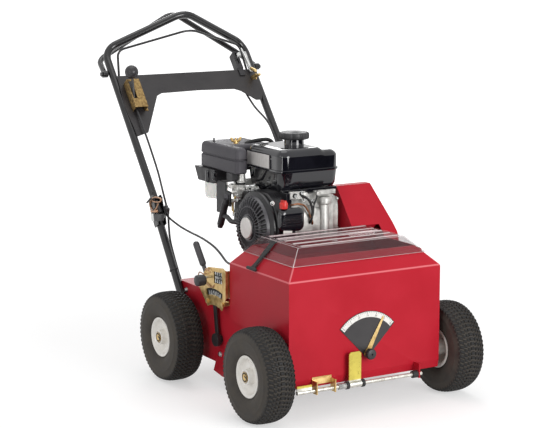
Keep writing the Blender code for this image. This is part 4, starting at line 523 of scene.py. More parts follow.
# Moulded black nylon: dark grey, with a fine spark-eroded grain.
nylon = finish("moulded_black_nylon", "#2B2A2C", "#201F21", 20, (0.42, 0.58), 1.4, 0.16)
DIAL = np.array((3, 0, 175))


def sector(inner, outer, first, last, low, high, steps=48):
    """A flat ring sector round the dial's centre, from one angle in degrees to another."""
    t = np.radians(np.linspace(first, last, steps))
    way = np.stack([np.cos(t), np.sin(t)], -1)
    outline = np.concatenate([inner * way, outer * way[::-1]]) + DIAL[::2]
    return slab(outline, 1, low, high)


rounded_off("dial_plate", black_coat, 0.3)
make("dial_scale", [sector(106.5, 123.2, 41.5, 138.5, -2, -1.6)], white_ink, "base")
SCALE_FIRST, SCALE_SPAN, TICK_OUT, FIGURE_AT = 136, 92, 122.8, 111.5
ticks = []
for k in range(31):
    angle = SCALE_FIRST - k * SCALE_SPAN / 30
    long = 4 if k % 5 else 7.5
    ticks.append(sector(TICK_OUT - long, TICK_OUT, angle - 0.22, angle + 0.22, -2.25, -1.9, 2))
make("dial_ticks", ticks, black_coat, "base")


def dial_figure(name, text, size, place, turn):
    """A plain figure cut as a sheet 0.2 mm thick that faces the front, turned about the dial's axis:
    place + (a cos - b sin, -out, a sin + b cos) for each point (a, b, out) of the flat letter."""
    curve = bpy.data.curves.new(name, "FONT")
    curve.body = text
    curve.size = size / 1000
    curve.extrude = 0.0001
    curve.align_x = curve.align_y = "CENTER"
    source = bpy.data.objects.new(name + "_outline", curve)
    bpy.context.scene.collection.objects.link(source)
    mesh = bpy.data.meshes.new_from_object(source.evaluated_get(bpy.context.evaluated_depsgraph_get()))
    bpy.data.objects.remove(source)
    points = np.empty(len(mesh.vertices) * 3)
    mesh.vertices.foreach_get("co", points)
    a, b, out = points.reshape(-1, 3).T * 1000
    cos, sin = math.cos(turn), math.sin(turn)
    spread = np.stack([a * cos - b * sin, -out, a * sin + b * cos], -1)
    mesh.vertices.foreach_set("co", placed(place + spread).ravel())
    mesh.update()
    show(name, mesh, black_coat, "base", (), 0)


for k in range(7):
    angle = math.radians(SCALE_FIRST - k * SCALE_SPAN / 6)
    spot = DIAL + FIGURE_AT * np.array((math.cos(angle), 0, math.sin(angle))) + (0, -2, 0)
    dial_figure(f"dial_figure_{k}", str(k * 5), 7.5, spot, angle - math.pi / 2)

needle_turn = math.radians(61.7)
needle_way = np.array((math.cos(needle_turn), math.sin(needle_turn)))
needle_side = np.array((-needle_way[1], needle_way[0]))
needle_rows = [(-12, 6), (-8, 8.5), (0, 9.5), (12, 7.8), (112, 3.2), (118.5, 0.6)]
r, h = np.array(needle_rows + [(r, -h) for r, h in needle_rows[::-1]]).T[:, :, None]
outline = DIAL[::2] + needle_way * r + needle_side * h
dress("dial_pointer", [
    slab(outline, 1, -4.1, -2.3),
    turned([(2.3, 9.5), (8.8, 9.5), (9.2, 9)], DIAL, FORE),
], gold_zinc, 0.4)
t = np.linspace(0, 2 * math.pi, 96, endpoint=False)
knob_profile = [(9.4, 9.5), (12, 13.5), (15, 16), (25, 16.5), (28, 15), (29.7, 11.5), (29.7, 0.8)]
KNOB_FLUTES, FLUTE_DEEP = 16, 1.1
flutes = np.array([0, 0.5, 1, 1, 0.7, 0, 0])[:, None] * -FLUTE_DEEP * (np.cos(t * KNOB_FLUTES) < -0.1)
dress("pointer_knob", [
    turned(knob_profile, DIAL, FORE, 96, wave=flutes),
    turned([(29.6, 3.5), (30, 3)], DIAL, FORE),
], nylon)


# Seed gate's shaft. Ground bar with a hand tab, a spring, a rubber collar, and a folded clevis that holds
# it to the front panel.

# The shaft is bright, its hand tab above is plated a green yellow: Object Z parts the two.
gate_zinc = finish("green_yellow_zinc", "#DAD9D2", "#B9B7AE", 12, (0.25, 0.42), 1.5, 0.03, {"Metallic": 0.85})
gate_at = add(gate_zinc.node_tree, "TexCoord").outputs["Object"]
gate_height = add(gate_zinc.node_tree, "SeparateXYZ", {"Vector": gate_at}).outputs["Z"]
on_tab = add(gate_zinc.node_tree, "MapRange", {"Value": gate_height, "From Min": 0.102, "From Max": 0.106})
tinted(gate_zinc, on_tab.outputs["Result"], "#C3B455")
rounded_off("gate_lever", gate_zinc, 0.5)
rounded_off("gate_clevis", gold_zinc, 0.5)


def coil(start, end, radius, wire, turns):
    """A helix of round wire: centre line radius * (cos, sin) of turns * 2 pi * u along X."""
    u = np.linspace(0, 1, int(turns * 20))
    angle = turns * 2 * math.pi * u
    round_about = np.stack([0 * u, radius * np.cos(angle), radius * np.sin(angle)], -1)
    path = np.array(start) + u[:, None] * np.subtract(end, start) + round_about
    return carried(path, oval(wire, wire, 8), ACROSS)


make("gate_spring", [coil((-108, -17, 91), (-74, -17, 91), 8.5, 1.3, 9)], zinc, "gate_shaft")
collars = ((154, 171.2, 11.2), (-27.5, -18, 11.8), (-82, -72.5, 11.8))
make("gate_collar", [turned([(low, r), (high, r)], (0, -17, 91)) for low, high, r in collars], soft_rubber,
     "gate_shaft", edge=0.8)


# Depth quadrant, its rack and the hand lever. The quadrant is 3 mm plate, punched and plated yellow; the
# zinc rack behind it shows through its two windows as bright teeth on black. The lever is flat bar with a
# dipped vinyl grip.

rounded_off("depth_quadrant", gold_zinc, 0.6)
PIVOT = np.array((417, 158))


def about_pivot(radius, degrees):
    """Points in the side view, at radii and angles from the lift shaft."""
    turn = np.radians(degrees)
    return PIVOT + np.multiply(radius, (np.cos(turn), np.sin(turn))).T


def arc_strip(inner, outer, first, last, steps):
    """A strip about the lift shaft, from one angle to another and back."""
    sweep = np.linspace(first, last, steps)
    return np.concatenate([about_pivot(outer, sweep), about_pivot(inner, sweep[::-1])])


window = [(364, 334), (426, 330), (428, 377), (366, 381)]
RACK, TOOTH = (-272.2, -271.2), (-274.4, -272.3)
make("rack_backing", [slab(plan, 0, *RACK) for plan in (arc_strip(136, 164, 68, 110, 16), window)], soft_rubber,
     "base")
tooth = np.array([(137.5, -1.9), (137.5, 1.9), (152, 1.1), (152, -1.1)]).T
teeth = [about_pivot(tooth[0], a + tooth[1]) for a in np.linspace(76, 102, 6)]
teeth.append(arc_strip(136.5, 140.5, 104, 74, 12))
for tooth_y in (378, 390, 402, 414):
    for foot, tip in ((338.5, 350), (373, 362)):
        teeth.append([(tooth_y - 3.2, foot), (tooth_y + 3.2, foot), (tooth_y + 1.8, tip), (tooth_y - 1.8, tip)])
teeth.append([(375, 353), (417, 351), (417, 358), (375, 360)])
make("rack_teeth", [slab(tooth, 0, *TOOTH) for tooth in teeth], zinc, "base", edge=0.3)


def bent(corners, radii, steps=10):
    """Straight runs joined by arcs that touch both runs: at each inner corner, centre + radius * (a sin
    (1 - s) w + b sin s w) / sin w, with a and b the arc's two end directions and w the angle between."""
    corners = [np.array(c, float) for c in corners]
    path = [corners[0]]
    for before, corner, after, radius in zip(corners, corners[1:], corners[2:], radii):
        one = (before - corner) / np.linalg.norm(before - corner)
        two = (after - corner) / np.linalg.norm(after - corner)
        half = math.acos(np.clip(one @ two, -1, 1)) / 2
        centre = corner + (one + two) / np.linalg.norm(one + two) * radius / math.sin(half)
        a, b = (corner + way * radius / math.tan(half) - centre for way in (one, two))
        sweep = math.pi - 2 * half
        s = np.linspace(0, 1, steps)[:, None]
        path.extend(centre + (a * np.sin((1 - s) * sweep) + b * np.sin(s * sweep)) / math.sin(sweep))
    path.append(corners[-1])
    return np.array(path)


def eased(route):
    """Catmull-Rom curve through a route, eight steps from b to c: half of
    2b + (c - a) t + (2a - 5b + 4c - d) t2 + (3b - a - 3c + d) t3."""
    route = np.array(route, float)
    ends = np.concatenate([2 * route[:1] - route[1:2], route, 2 * route[-1:] - route[-2:-1]])
    a, b, c, d = (ends[i:len(ends) - 3 + i, None] for i in range(4))
    t = np.linspace(0, 1, 8, endpoint=False)[None, :, None]
    curve = 2 * b + (c - a) * t + (2 * a - 5 * b + 4 * c - d) * t ** 2 + (3 * b - a - 3 * c + d) * t ** 3
    return np.concatenate([curve.reshape(-1, 3) / 2, route[-1:]])


def piped(route, radius, up=UP):
    """A round pipe or wire along the eased curve through a route."""
    return carried(eased(route), oval(radius, radius, 12), up)


lever_path = bent([(0, 417, 158), (0, 433, 266), (0, 498.5, 366.7), (0, 540, 418.7)], [60, 60])
lever_way = np.gradient(lever_path, axis=0)
beside = np.cross(lever_way / np.linalg.norm(lever_way, axis=1)[:, None], ACROSS) * 9.2
bar = np.concatenate([lever_path + beside, (lever_path - beside)[::-1]])[:, 1:]
dress("depth_lever", [
    slab(bar, 0, -269, -264),
    turned([(264, 20.5), (277, 20.5)], (0, *PIVOT), LEFT),
], black_coat, 0.8)
# Dipped vinyl: dark grey, soft sheen, faint drag marks from the dip.
vinyl = finish("dipped_grey_vinyl", "#424042", "#353336", 30, (0.42, 0.55), 1.5, 0.1)
make("depth_lever_grip", [capsule((-266.5, 503, 372.4), (-266.5, 557.5, 440.6), 10.2, 24, 8)], vinyl, "lift")
make("depth_knob_finish", [
    turned([(30.5, 9), (32, 14.5), (34.5, 16.8), (56, 17.5), (60, 16.2), (61.8, 12),
            (62.5, 1)], (-270, 433, 346), LEFT, 40),
], nylon, "pawl", edge=0.4)
make("depth_pawl", [
    turned([(0.2, 3.6), (1.2, 4), (43, 4)], (-270, 440, 352), LEFT, 20),
], zinc, None, ["depth_knob"])
# Copper-washed spring wire: warm tan, satin.
copper_wire = finish("copper_washed_wire", "#C39A7C", "#9F7757", 10, (0.30, 0.45), 1, 0.02, {"Metallic": 0.6})
make("pawl_wire", [
    piped([(-280, 464, 356), (-281, 480, 354), (-281.5, 503, 355.3), (-281.5, 509.7, 340), (-281, 485, 331),
           (-280, 464.6, 327.8), (-279, 432.7, 320), (-277, 418, 330)], 1.9, ACROSS),
    piped([(-279, 464, 364), (-282, 464, 371.7), (-283, 448, 374), (-280, 433, 366)], 1.9, ACROSS),
], copper_wire, "base")


# Engine. A single-cylinder petrol engine: die cast crankcase and cylinder with their bosses and bolts, a
# breather pipe, two leads, and the pressed fan housing bolted over the flywheel.

# Gloss black stoving paint: deep and mirror smooth, so it shows more of its surroundings than colour.
gloss_black = finish("gloss_black_stoving_paint", "#15151C", "#0E0E14", 50, (0.06, 0.10), 20, 0.06,
                     {"Coat Weight": 0.30, "Coat Roughness": 0.04})
# Baked satin enamel on the pressed fan housing: dark grey, smooth.
satin_enamel = finish("baked_satin_enamel", "#1A191C", "#131215", 50, (0.26, 0.34), 10, 0.05,
                      {"Specular IOR Level": 0.45})
# Moulded black polypropylene: grey black with a leather-like grain about 2 mm across.
moulded = finish("grained_black_polypropylene", "#272528", "#1D1C1F", 30, (0.40, 0.55), 2, 0.22)
# The air cleaner's cover, moulded in a greyer mix with the same grain.
grey_moulded = finish("grained_grey_polypropylene", "#4B494E", "#3E3C41", 30, (0.45, 0.58), 2.2, 0.22,
                      {"Specular IOR Level": 0.4})
# Copper-tinted heat stain on a steel pipe.
stained_pipe = finish("heat_tinted_steel", "#A8704F", "#7C5A45", 20, (0.30, 0.45), 2, 0.04, {"Metallic": 0.7})
rounded_off("crankcase", cast, 1.5)
rounded_off("blower_housing", satin_enamel, 7, 4)
cover_bolts = []
for bolt_y, bolt_z in ((398, 372), (468, 366), (538, 372), (398, 470), (538, 470), (400, 562), (468, 566),
                       (536, 562)):
    cover_bolts += hex_bolt((150.2, bolt_y, bolt_z), ACROSS, 10, 6, 8.5)
for bolt_x, bolt_z in ((2, 596), (-22, 590), (12, 578), (46, 568), (30, 420), (114, 420)):
    cover_bolts += hex_bolt((bolt_x, 366.2, bolt_z), FORE, 9, 6, 8)
make("crankcase_bolts", cover_bolts, zinc, "base")
make("crankcase_bosses", [
    turned([(-12, 62), (0, 60), (4, 54), (6, 40), (6.5, 1)], (50, 375.2, 490), FORE, 48),
    turned([(430, 19), (552, 16.5), (560, 13)], (88, 374, 0), UP, 28),
    turned([(556, 20), (558, 21.5), (574, 21.5), (579, 18), (580, 1)], (89, 373, 0), UP, 28),
    slab([(-38, 580), (16, 578), (16, 602), (-38, 604)], 1, 366, 375.5),
    slab([(52, 586), (128, 586), (128, 600), (52, 600)], 1, 368, 380),
    turned([(0, 11.5), (9, 10.5), (10, 8)], (18, 375.2, 588), FORE, 20),
    turned([(0, 8.5), (12, 7.5), (12.5, 1)], (60, 370, 592), FORE, 16),
], cast, "base", edge=1.2)
# Painted shade: gloss black bands fill the space under the front of the tank and down from its near end, where
# it lies in shadow.
make("under_tank_shade", [
    slab([(-48, 562), (0, 593), (135, 590), (150, 596), (150, 604), (-48, 604)], 1, 396, 410),
    slab([(-48, 530), (-30, 530), (-30, 596), (-48, 600)], 1, 370, 400),
], gloss_black, "base", edge=2)
make("breather_pipe", [
    piped([(-34, 372, 562), (-30, 362, 564), (-14, 360, 565.5), (8, 360, 559), (22, 360, 541), (33, 360, 517.6),
           (40, 362, 503), (44, 371, 496)], 3.2, BACK),
], stained_pipe, "base")
make("spark_leads", [
    piped([(0, 372, 590), (6, 360, 588), (22, 358, 576.5), (33, 358, 558), (36.7, 358, 536), (33.5, 359, 510),
           (33, 371, 500)], 3.6, BACK),
    piped([(60, 372, 592), (56, 362, 586), (50, 359, 572), (42, 358, 556), (40, 358.5, 530),
           (41, 371, 516)], 2.8, BACK),
], soft_rubber, "base")


# Recoil starter. A smooth flared rim on the housing, and a moulded nylon dome with two rings of thin louvres
# that twist as they go outwards, round a blank foil disc. The pull grip rests in its guide.

# Each louvre is a pulse of the angle, turned on with the radius, on rows of (along, radius) from rim to
# disc. The points between the louvres are marked 1, and near black is painted there as shade.
RECOIL = np.array((-95.3, 460, 487))
make("recoil_rim", [
    turned([(0, 111.2), (3, 112.2), (8, 112), (11, 110.5), (12.8, 107), (14, 103), (16.5, 99), (17, 96.5),
            (14, 95)], RECOIL, LEFT, 96),
], satin_enamel, "base")
# The dome's nylon: a paler grey than the knobs', a painted highlight on the louvres, with a soft shine on each
# louvre's edge.
louvred = finish("louvred_black_nylon", "#4A494D", "#3B3A3E", 30, (0.35, 0.48), 1.4, 0.1,
                 {"Specular IOR Level": 0.6})
tinted(louvred, "louvre_shade", "#070708")
cover_rows = np.array([(10, 97.5), (18, 97.2), (25, 95.5), (30, 91.5), (33.5, 85), (36, 76), (37.8, 66),
                       (38.8, 54), (39, 44), (39, 34)])
rise_at = np.linspace(0, len(cover_rows) - 1, 81)
along, radius = (np.interp(rise_at, np.arange(len(cover_rows)), cover_rows[:, i]) for i in (0, 1))
LOUVRES, SLOTS_IN, SLOTS_OUT, BAND, FIN_TALL, SLOT_DEEP = 38, 42.5, 94, 65.5, 8.5, 7
t = np.linspace(0, 2 * math.pi, LOUVRES * 14, endpoint=False)
twist = 0.18 * (radius[:, None] - 66) / 20
fins = pulse((LOUVRES * t / (2 * math.pi) + twist) % 1, 0.34, 0.12)
slots = np.clip((radius - SLOTS_IN) / 3, 0, 1) * np.clip((SLOTS_OUT - radius) / 3, 0, 1)
slots = (slots * np.clip((np.abs(radius - BAND) - 1.5) / 1.5, 0, 1))[:, None]
out = along[:, None] + slots * (FIN_TALL * fins - SLOT_DEEP)
grid = RECOIL + np.stack([-out, radius[:, None] * np.cos(t), radius[:, None] * np.sin(t)], -1)
rope_guide = bent([(-102, 545, 485), (-133, 568, 490), (-138, 585, 503), (-138, 601, 503)], [12, 10], 8)
dome, guide_shell = skin(grid), carried(rope_guide, oval(7.5, 7.5, 16), (0, 0.2, 1))
cover = dress("recoil_cover", [dome, guide_shell], louvred)
# Painted shade: near black in the slots between the louvres; the rope guide takes 0.65 of the same dark.
cover_shade = np.concatenate([(slots * (1 - fins)).ravel(), np.full(len(guide_shell[0]), 0.65)])
mark(cover, "louvre_shade", cover_shade)
make("recoil_hub_ring", [
    turned([(30, 40), (41.5, 39), (43, 37), (43, 33)], RECOIL, LEFT, 64),
], gloss_black, "base")
# Blank printed foil: pale, almost white, with a soft sheen.
foil = finish("blank_pale_foil", "#E9E6E3", "#D8D4D0", 20, (0.30, 0.42), 0.8, 0.02, {"Metallic": 0.15},
              (1, 8, 1))
make("recoil_disc", [
    turned([(42.5, 32.2), (46.5, 32.5), (48, 31.5), (48.8, 28), (49, 0.6)], RECOIL, LEFT, 64),
], foil, "base")
grip_path = bent([(-138, 591.5, 558), (-138, 595.5, 545), (-138, 627, 473), (-138, 631, 462)], [30, 30], 8)
u = np.linspace(-1, 1, len(grip_path))
dress("recoil_grip", [
    carried(grip_path, oval(10.5, 11.8, 20), ACROSS, 1 - 0.30 * u ** 10),
    capsule((-138, 601.3, 503), (-138, 620, 503), 5.8),
], moulded, 0.8)


# Fuel tank. Two pressed shells joined in a rolled seam, in gloss black: the pan hangs lowest at its front
# right corner, and the top falls away behind and to the left of the filler. Its cap is moulded and scalloped.

def pressed_box(x, y, levels, corner, steps=8, runs=1):
    """Rings of a box with round corners, one for each level (z, inset): corner centre + r (cos t, sin t),
    r being the corner less its inset; each straight side between the corners is cut into so many runs."""
    z, inset = (column[:, None] for column in np.array(levels, float).T)
    t = (np.arange(4)[:, None] * math.pi / 2 + np.linspace(0, math.pi / 2, steps)).ravel()
    sign_x, sign_y = np.repeat([1, -1, -1, 1], steps), np.repeat([1, 1, -1, -1], steps)
    r = np.maximum(corner - inset, 4)
    ring = np.stack([sum(x) / 2 + sign_x * ((x[1] - x[0]) / 2 - inset - r) + r * np.cos(t),
                     sum(y) / 2 + sign_y * ((y[1] - y[0]) / 2 - inset - r) + r * np.sin(t), z + 0 * t], -1)
    share = np.arange(1, runs)[:, None] / runs
    whole = []
    for k in range(4):
        bend, after = ring[:, k * steps:(k + 1) * steps], ring[:, (k + 1) * steps % (4 * steps)]
        whole += [bend, bend[:, -1:] + share * (after - bend[:, -1])[:, None]]
    return np.concatenate(whole, 1)


tank_levels = [(583.5, 33), (584, 25), (586.2, 17), (591, 10), (600, 5.5), (620, 3), (655, 0), (656.3, -1),
               (656.8, -3.5), (657.5, -4.2), (662.2, -4.2), (663, -3.5), (663.6, -1), (664, 0), (664.8, 0),
               (670, 0), (704, 0.2), (707.5, 0.4), (711, 1.8), (716, 4.5), (720.5, 8.5), (725, 14.5), (727, 22)]
tank_levels += [(727.6, inset) for inset in np.linspace(30, 102, 10)]
tank = pressed_box((-50, 165), (400, 620), tank_levels, 30, 10, 24)
x, y, z = np.moveaxis(tank, -1, 0)    # views, so that z moves the tank's own points
# The pan's floor rises in an S to the left of its hung side, and evenly towards its back. The top sinks
# to the left of the filler, by a step and by a slope towards the back.
SEAM_LOW, PAN_DEEP, PAN_RISE, BACK_RISE = 656, 72.5, 16.5, 0.30
below, hung = np.clip((SEAM_LOW - z) / PAN_DEEP, 0, 1), np.clip((2 - x) / 36, 0, 1)
z += below * ((1 - hung ** 2 * (3 - 2 * hung)) * PAN_RISE + np.maximum(0, y - 560) * BACK_RISE)
SEAM_TOP, TOP_DEEP, TOP_STEP, BACK_SINK = 670, 50, 5, 0.17
above, beyond = np.clip((z - SEAM_TOP) / TOP_DEEP, 0, 1), np.clip((x - 97) / 12, 0, 1)
z -= above * beyond * (TOP_STEP + BACK_SINK * (y - 400))
dress("fuel_tank", [
    skin(tank),
    turned([(718, 33), (730, 31.5), (744.2, 31)], (66, 515, 0), UP, 48),
], gloss_black)
make("tank_label_plate", [
    slab([(473, 662.5), (609, 661), (609, 704), (473, 705.5)], 0, -50.7, -48.5),
], foil, "base", edge=0.4)

t = np.linspace(0, 2 * math.pi, 120, endpoint=False)
cap_profile = [(745, 43), (746.5, 46.8), (749, 48), (761, 48), (764, 47), (766, 43.5), (766.8, 38), (766, 33),
               (766.4, 15), (768, 12), (768, 0.8)]
SCALLOPS, SCALLOP_DEEP = 10, 3.2
scallops = pulse((SCALLOPS * t / (2 * math.pi)) % 1, 0.30, 0.12)
grooves = np.array([0.2, 1, 1, 1, 1, 0.6, 0, 0, 0, 0, 0])[:, None] * -SCALLOP_DEEP * scallops
dress("fuel_cap", [turned(cap_profile, (66, 515, 0), UP, 120, wave=grooves)], nylon)


# Air cleaner. A moulded cover in two parts, held by a wing nut and a stud, with a hose to the engine; the
# intake duct stands behind it, and a translucent cup hangs below.

def cleaner_ring(z, inset):
    """The air cleaner's outline at a level: a broad body with a narrower lobe to the front, its walls
    moved in by the inset and its corners rounded to 14 mm less the inset."""
    corners = np.array([(-117, 560), (-74, 560), (-74, 632), (50, 632), (50, 802), (-117, 802)])
    ring = corners + inset * np.array([(1, 1), (-1, 1), (-1, 1), (-1, 1), (-1, -1), (1, -1)])
    start, r = (ring[-1] + ring[0]) / 2, max(14 - inset, 3)
    return bent([(*p, z) for p in (start, *ring, start)], [r, r, 8, r, r, r], 7)[:-1]


cleaner_levels = [(637, 8), (638.2, 3), (642, 0), (676.5, 0), (678, 1.2), (679, 4.2), (682.6, 4.2),
                  (683.6, 1.2), (685, 0), (706, 1.2), (712, 3.2), (716.2, 7), (718.8, 11), (719.8, 14.5)]
cleaner = np.array([cleaner_ring(z, inset) for z, inset in cleaner_levels])
dress("air_cleaner", [skin(cleaner)], grey_moulded)
wing = [(-21, 15), (-19, 18.5), (-14, 17.5), (-6, 8), (-5, 0), (5, 0), (6, 8), (14, 17.5), (19, 18.5), (21, 15),
        (17, 6), (6, -0.5), (-6, -0.5), (-17, 6)]
make("air_cleaner_wing_nut", [
    turned([(719.2, 9), (720.6, 9)], (-53, 677, 0), UP),
    turned([(720.6, 6.8), (728, 6), (730, 4.2), (730, 0.6)], (-53, 677, 0), UP),
    capsule((-53, 677, 720), (-53, 677, 738.5), 3),
    slab(np.add(wing, (-53, 721.5)), 1, 675.5, 678.5),
], gold_zinc, "base", edge=0.6)
make("air_cleaner_stud", [
    turned([(719.2, 6.2), (721.5, 5.8)], (-93.4, 749.1, 0), UP),
    capsule((-93.4, 749.1, 719), (-93.4, 749.1, 733), 2.8),
], nylon, "base")
make("breather_hose", [
    piped([(-30, 664, 713), (-18, 662, 721.5), (12, 668, 724.5), (45, 680, 724.5), (72, 688, 722),
           (90, 692, 712), (96, 694, 690)], 6.2),
], soft_rubber, "base")
rounded_off("intake_duct", moulded, 3, 3)
make("duct_lobes", [
    capsule((-122.5, 736, 590), (-122.5, 736, 636.2), 9.2),
    capsule((-122.5, 696, 603), (-122.5, 696, 636.2), 8.2),
], gloss_black, "base")
# Translucent polyethylene cup: milky and pale, a soft glow where light comes through.
milky = finish("milky_polyethylene", "#FBF8F2", "#F3EEE4", 30, (0.25, 0.40), 10, 0.1,
               {"Subsurface Weight": 0.4, "Subsurface Scale": 0.02, "Alpha": 0.55})
dress("filter_cup", [
    turned([(591.5, 35.5), (589, 37.2), (585, 37.5), (570, 37.8), (548, 36.6), (541, 34.5), (537.5, 29),
            (537, 1)], (-85, 750, 0), UP, 48),
], milky)


# Carburettor and governor. A bright cast body under a moulded elbow, bolted between air cleaner and cylinder,
# with its flanges, throttle stop, screws, spring and plated link.

# Machined and tumbled aluminium: bright, fine grained, satin.
bright_alloy = finish("tumbled_aluminium", "#F2F1EE", "#CFCEC9", 12, (0.30, 0.45), 1.2, 0.08,
                      {"Metallic": 0.55})
dress("carburettor", [
    turned([(605.5, 16.5), (610, 16.5), (611, 13), (636.7, 12)], (-75, 602, 0), UP, 28),
    slab([(-99, 588), (-68, 588), (-68, 624), (-99, 624)], 2, 570, 599.5),
    turned([(556, 13), (560, 16.5), (572, 16.5)], (-86, 606, 0), UP, 28),
    slab([(598, 594), (618, 594), (618, 614), (598, 614)], 0, -72, -6),
    slab([(-19, 555.3), (-6, 555.3), (-6, 600), (-19, 600)], 1, 598, 618),
    turned([(0, 8.5), (10, 8.5), (12, 6.5)], (-99, 616, 594), LEFT, 24),
    slab([(600, 588), (640, 590), (640, 596), (600, 600)], 0, -112, -109),
    turned([(0, 6), (16, 5.5), (17, 3)], (-99, 592, 578), LEFT, 16),
    turned([(0, 4.5), (14, 4.5)], (-82, 589, 586), FORE, 12),
], bright_alloy, 1.2)
make("intake_elbow", [
    slab([(-115, 592), (-91.5, 592), (-91.5, 630), (-115, 630)], 2, 613, 637.5),
    turned([(599.5, 17), (605.5, 17)], (-80, 602, 0), UP, 28),
    slab([(600, 530), (632, 530), (640, 560), (634, 578), (598, 574)], 0, -119, -113),
], moulded, "base", edge=2.5)
make("governor_plate", [
    slab([(606, 537), (629, 533), (633, 566), (610, 568)], 0, -121.2, -118.8),
], grey_moulded, "base", edge=1)
small_parts = hex_bolt((-100, 600, 605), LEFT, 8, 5) + hex_bolt((-100, 578, 570), LEFT, 8, 8)
small_parts += hex_bolt((-66, 565, 593), LEFT, 9, 6, 7) + hex_bolt((-56, 533, 593), LEFT, 9, 6, 7)
small_parts += [coil((-101, 590, 552), (-116, 590, 552), 5, 0.9, 6),
                turned([(0, 5), (12, 5), (13, 3)], (-99, 568, 556), LEFT, 16),
                turned([(0, 4), (10, 4)], (-100, 606, 550), LEFT, 12),
                slab([(588, 500), (602, 500), (602, 513), (588, 513)], 0, -109, -105),
                *hex_bolt((-107, 356, 576), FORE, 9, 6, 7.5)]
make("carburettor_screws", small_parts, zinc, "base", edge=0.4)
make("governor_link", [
    piped([(-106, 586, 566), (-108.5, 590, 556), (-108, 598, 540), (-107, 600, 524),
           (-107, 595, 506)], 2.6, ACROSS),
    slab([(600, 514), (610, 516), (612, 548), (602, 548)], 0, -107.5, -104),
], gold_zinc, "base")


# Muffler. A pressed steel can with a rolled seam, on a welded stem that comes up from the cylinder, with a
# short tail pipe.

# Heat-resisting grey paint on steel: dull, slightly scorched.
scorched = finish("heat_resisting_paint", "#7A7773", "#57524E", 30, (0.45, 0.65), 2, 0.1, {"Metallic": 0.6})
can_levels = [(75, 10), (76.5, 3), (80, 0), (134, 0), (134.5, -3), (138.5, -3), (139, 0), (196, 0), (199, 3),
              (200, 10)]
can = pressed_box((645, 785), (622, 692), can_levels, 26)[..., [2, 0, 1]]
dress("muffler", [
    skin(can),
    slab([(662.7, 569.2), (690.3, 574.9), (690.3, 626), (662.7, 626)], 0, 78, 98),
    piped([(140, 770, 660), (140, 800, 660), (150, 822, 652)], 11),
], scorched, 1.5)


# Electrical box. A glossy moulded shell with a full round front on a tail that is screwed to the engine, a
# blank tag, and the red knob.

front_levels = [(340.8, 0), (336, 0.4), (331, 2.2), (327.2, 5.8), (325, 10.5), (324.2, 16), (324, 22)]
shell = pressed_box((-98, -8), (486.4, 560.4), front_levels, 20)[..., [0, 2, 1]]
dress("switch_box", [
    skin(shell),
    slab([(-80, 472.4), (-56, 472.4), (-56, 490), (-80, 490)], 1, 327, 337.8),
    slab([(-18.6, 496.4), (-8.1, 496.4), (-8.1, 546.4), (-18.6, 546.4)], 1, 339, 374.5),
], gloss_black, 0.6)
make("box_tag", [
    slab([(-87.5, 483.5), (-57, 480.5), (-57, 491.5), (-87.5, 494.5)], 1, 322.8, 326.2),
], enamel, "base", edge=0.6)
# Moulded red acetal: saturated and smooth.
red_knob = finish("moulded_red_acetal", "#D42A22", "#C0201A", 20, (0.28, 0.38), 2, 0.03)
rounded_off("stop_switch", red_knob, 1)


# Handle. Two lower tubes in cheek plates on the frame, one bent upper tube with a low peak, and a sheet
# panel between its uprights; all in satin black.

LEAN, RAKE, FOLD_AT, FOLD_OUT = math.radians(55.3), math.radians(51.4), 251.2, 15.6
OUT_OF_SLOPE = (0, -math.sin(RAKE), math.cos(RAKE))
# Black enamel on drawn tube: smoother and deeper than the coat on sheet, with one bright line of light.
tube_black = finish("black_tube_enamel", "#131214", "#0E0D0F", 60, (0.20, 0.28), 4, 0.03,
                    {"Coat Weight": 0.2, "Coat Roughness": 0.1})


def leaning(x, s, n):
    """A point by the lower tubes: x across, s up their slope, n out of their plane."""
    return (x, 673 + s * math.cos(LEAN) - n * math.sin(LEAN), 285 + s * math.sin(LEAN) + n * math.cos(LEAN))


def raked(x, s, n):
    """The same above the bolt of the fold, where the uprights lean further back."""
    _, y, z = leaning(x, FOLD_AT, FOLD_OUT)
    s = s - FOLD_AT
    return (x, y + s * math.cos(RAKE) - n * math.sin(RAKE), z + s * math.sin(RAKE) + n * math.cos(RAKE))


def both_sides(half):
    """The full path of a hoop from its right half: the half, then its mirror image back."""
    return list(half) + [(-x, y, z) for x, y, z in half[-2::-1]]


upper_path = bent(both_sides([raked(-268, 240, 0), raked(-268, 880, 0), (0, 1122.7, 1114.2)]), [52, 75, 52], 14)
BAIL_PIVOT = raked(0, 787, -6)
pin = [(270, 4), (302.5, 4), (302.5, 7.5), (306.5, 7.5), (307.2, 6.5)]
pivots = [turned(pin, BAIL_PIVOT, (side, 0, 0), 24) for side in (-1, 1)]
dress("upper_handle", [carried(upper_path, oval(12.7, 12.7, 28), OUT_OF_SLOPE), *pivots], tube_black, 0.8)
for word in ("right", "left"):
    rounded_off("lower_handle_" + word, tube_black, 0.5)
    rounded_off("fold_knob_" + word, nylon, 1)
rounded_off("control_panel", black_coat, 0.8)
# The same plating, weathered: brown, streaked and dull.
aged_zinc = finish("weathered_yellow_zinc", "#A98E5C", "#6E5634", 8, (0.40, 0.60), 1.5, 0.06,
                   {"Metallic": 0.75})
rounded_off("lever_gate", aged_zinc, 0.6)
rounded_off("throttle_box", moulded, 1.2)
rounded_off("throttle_lever", zinc, 0.5)

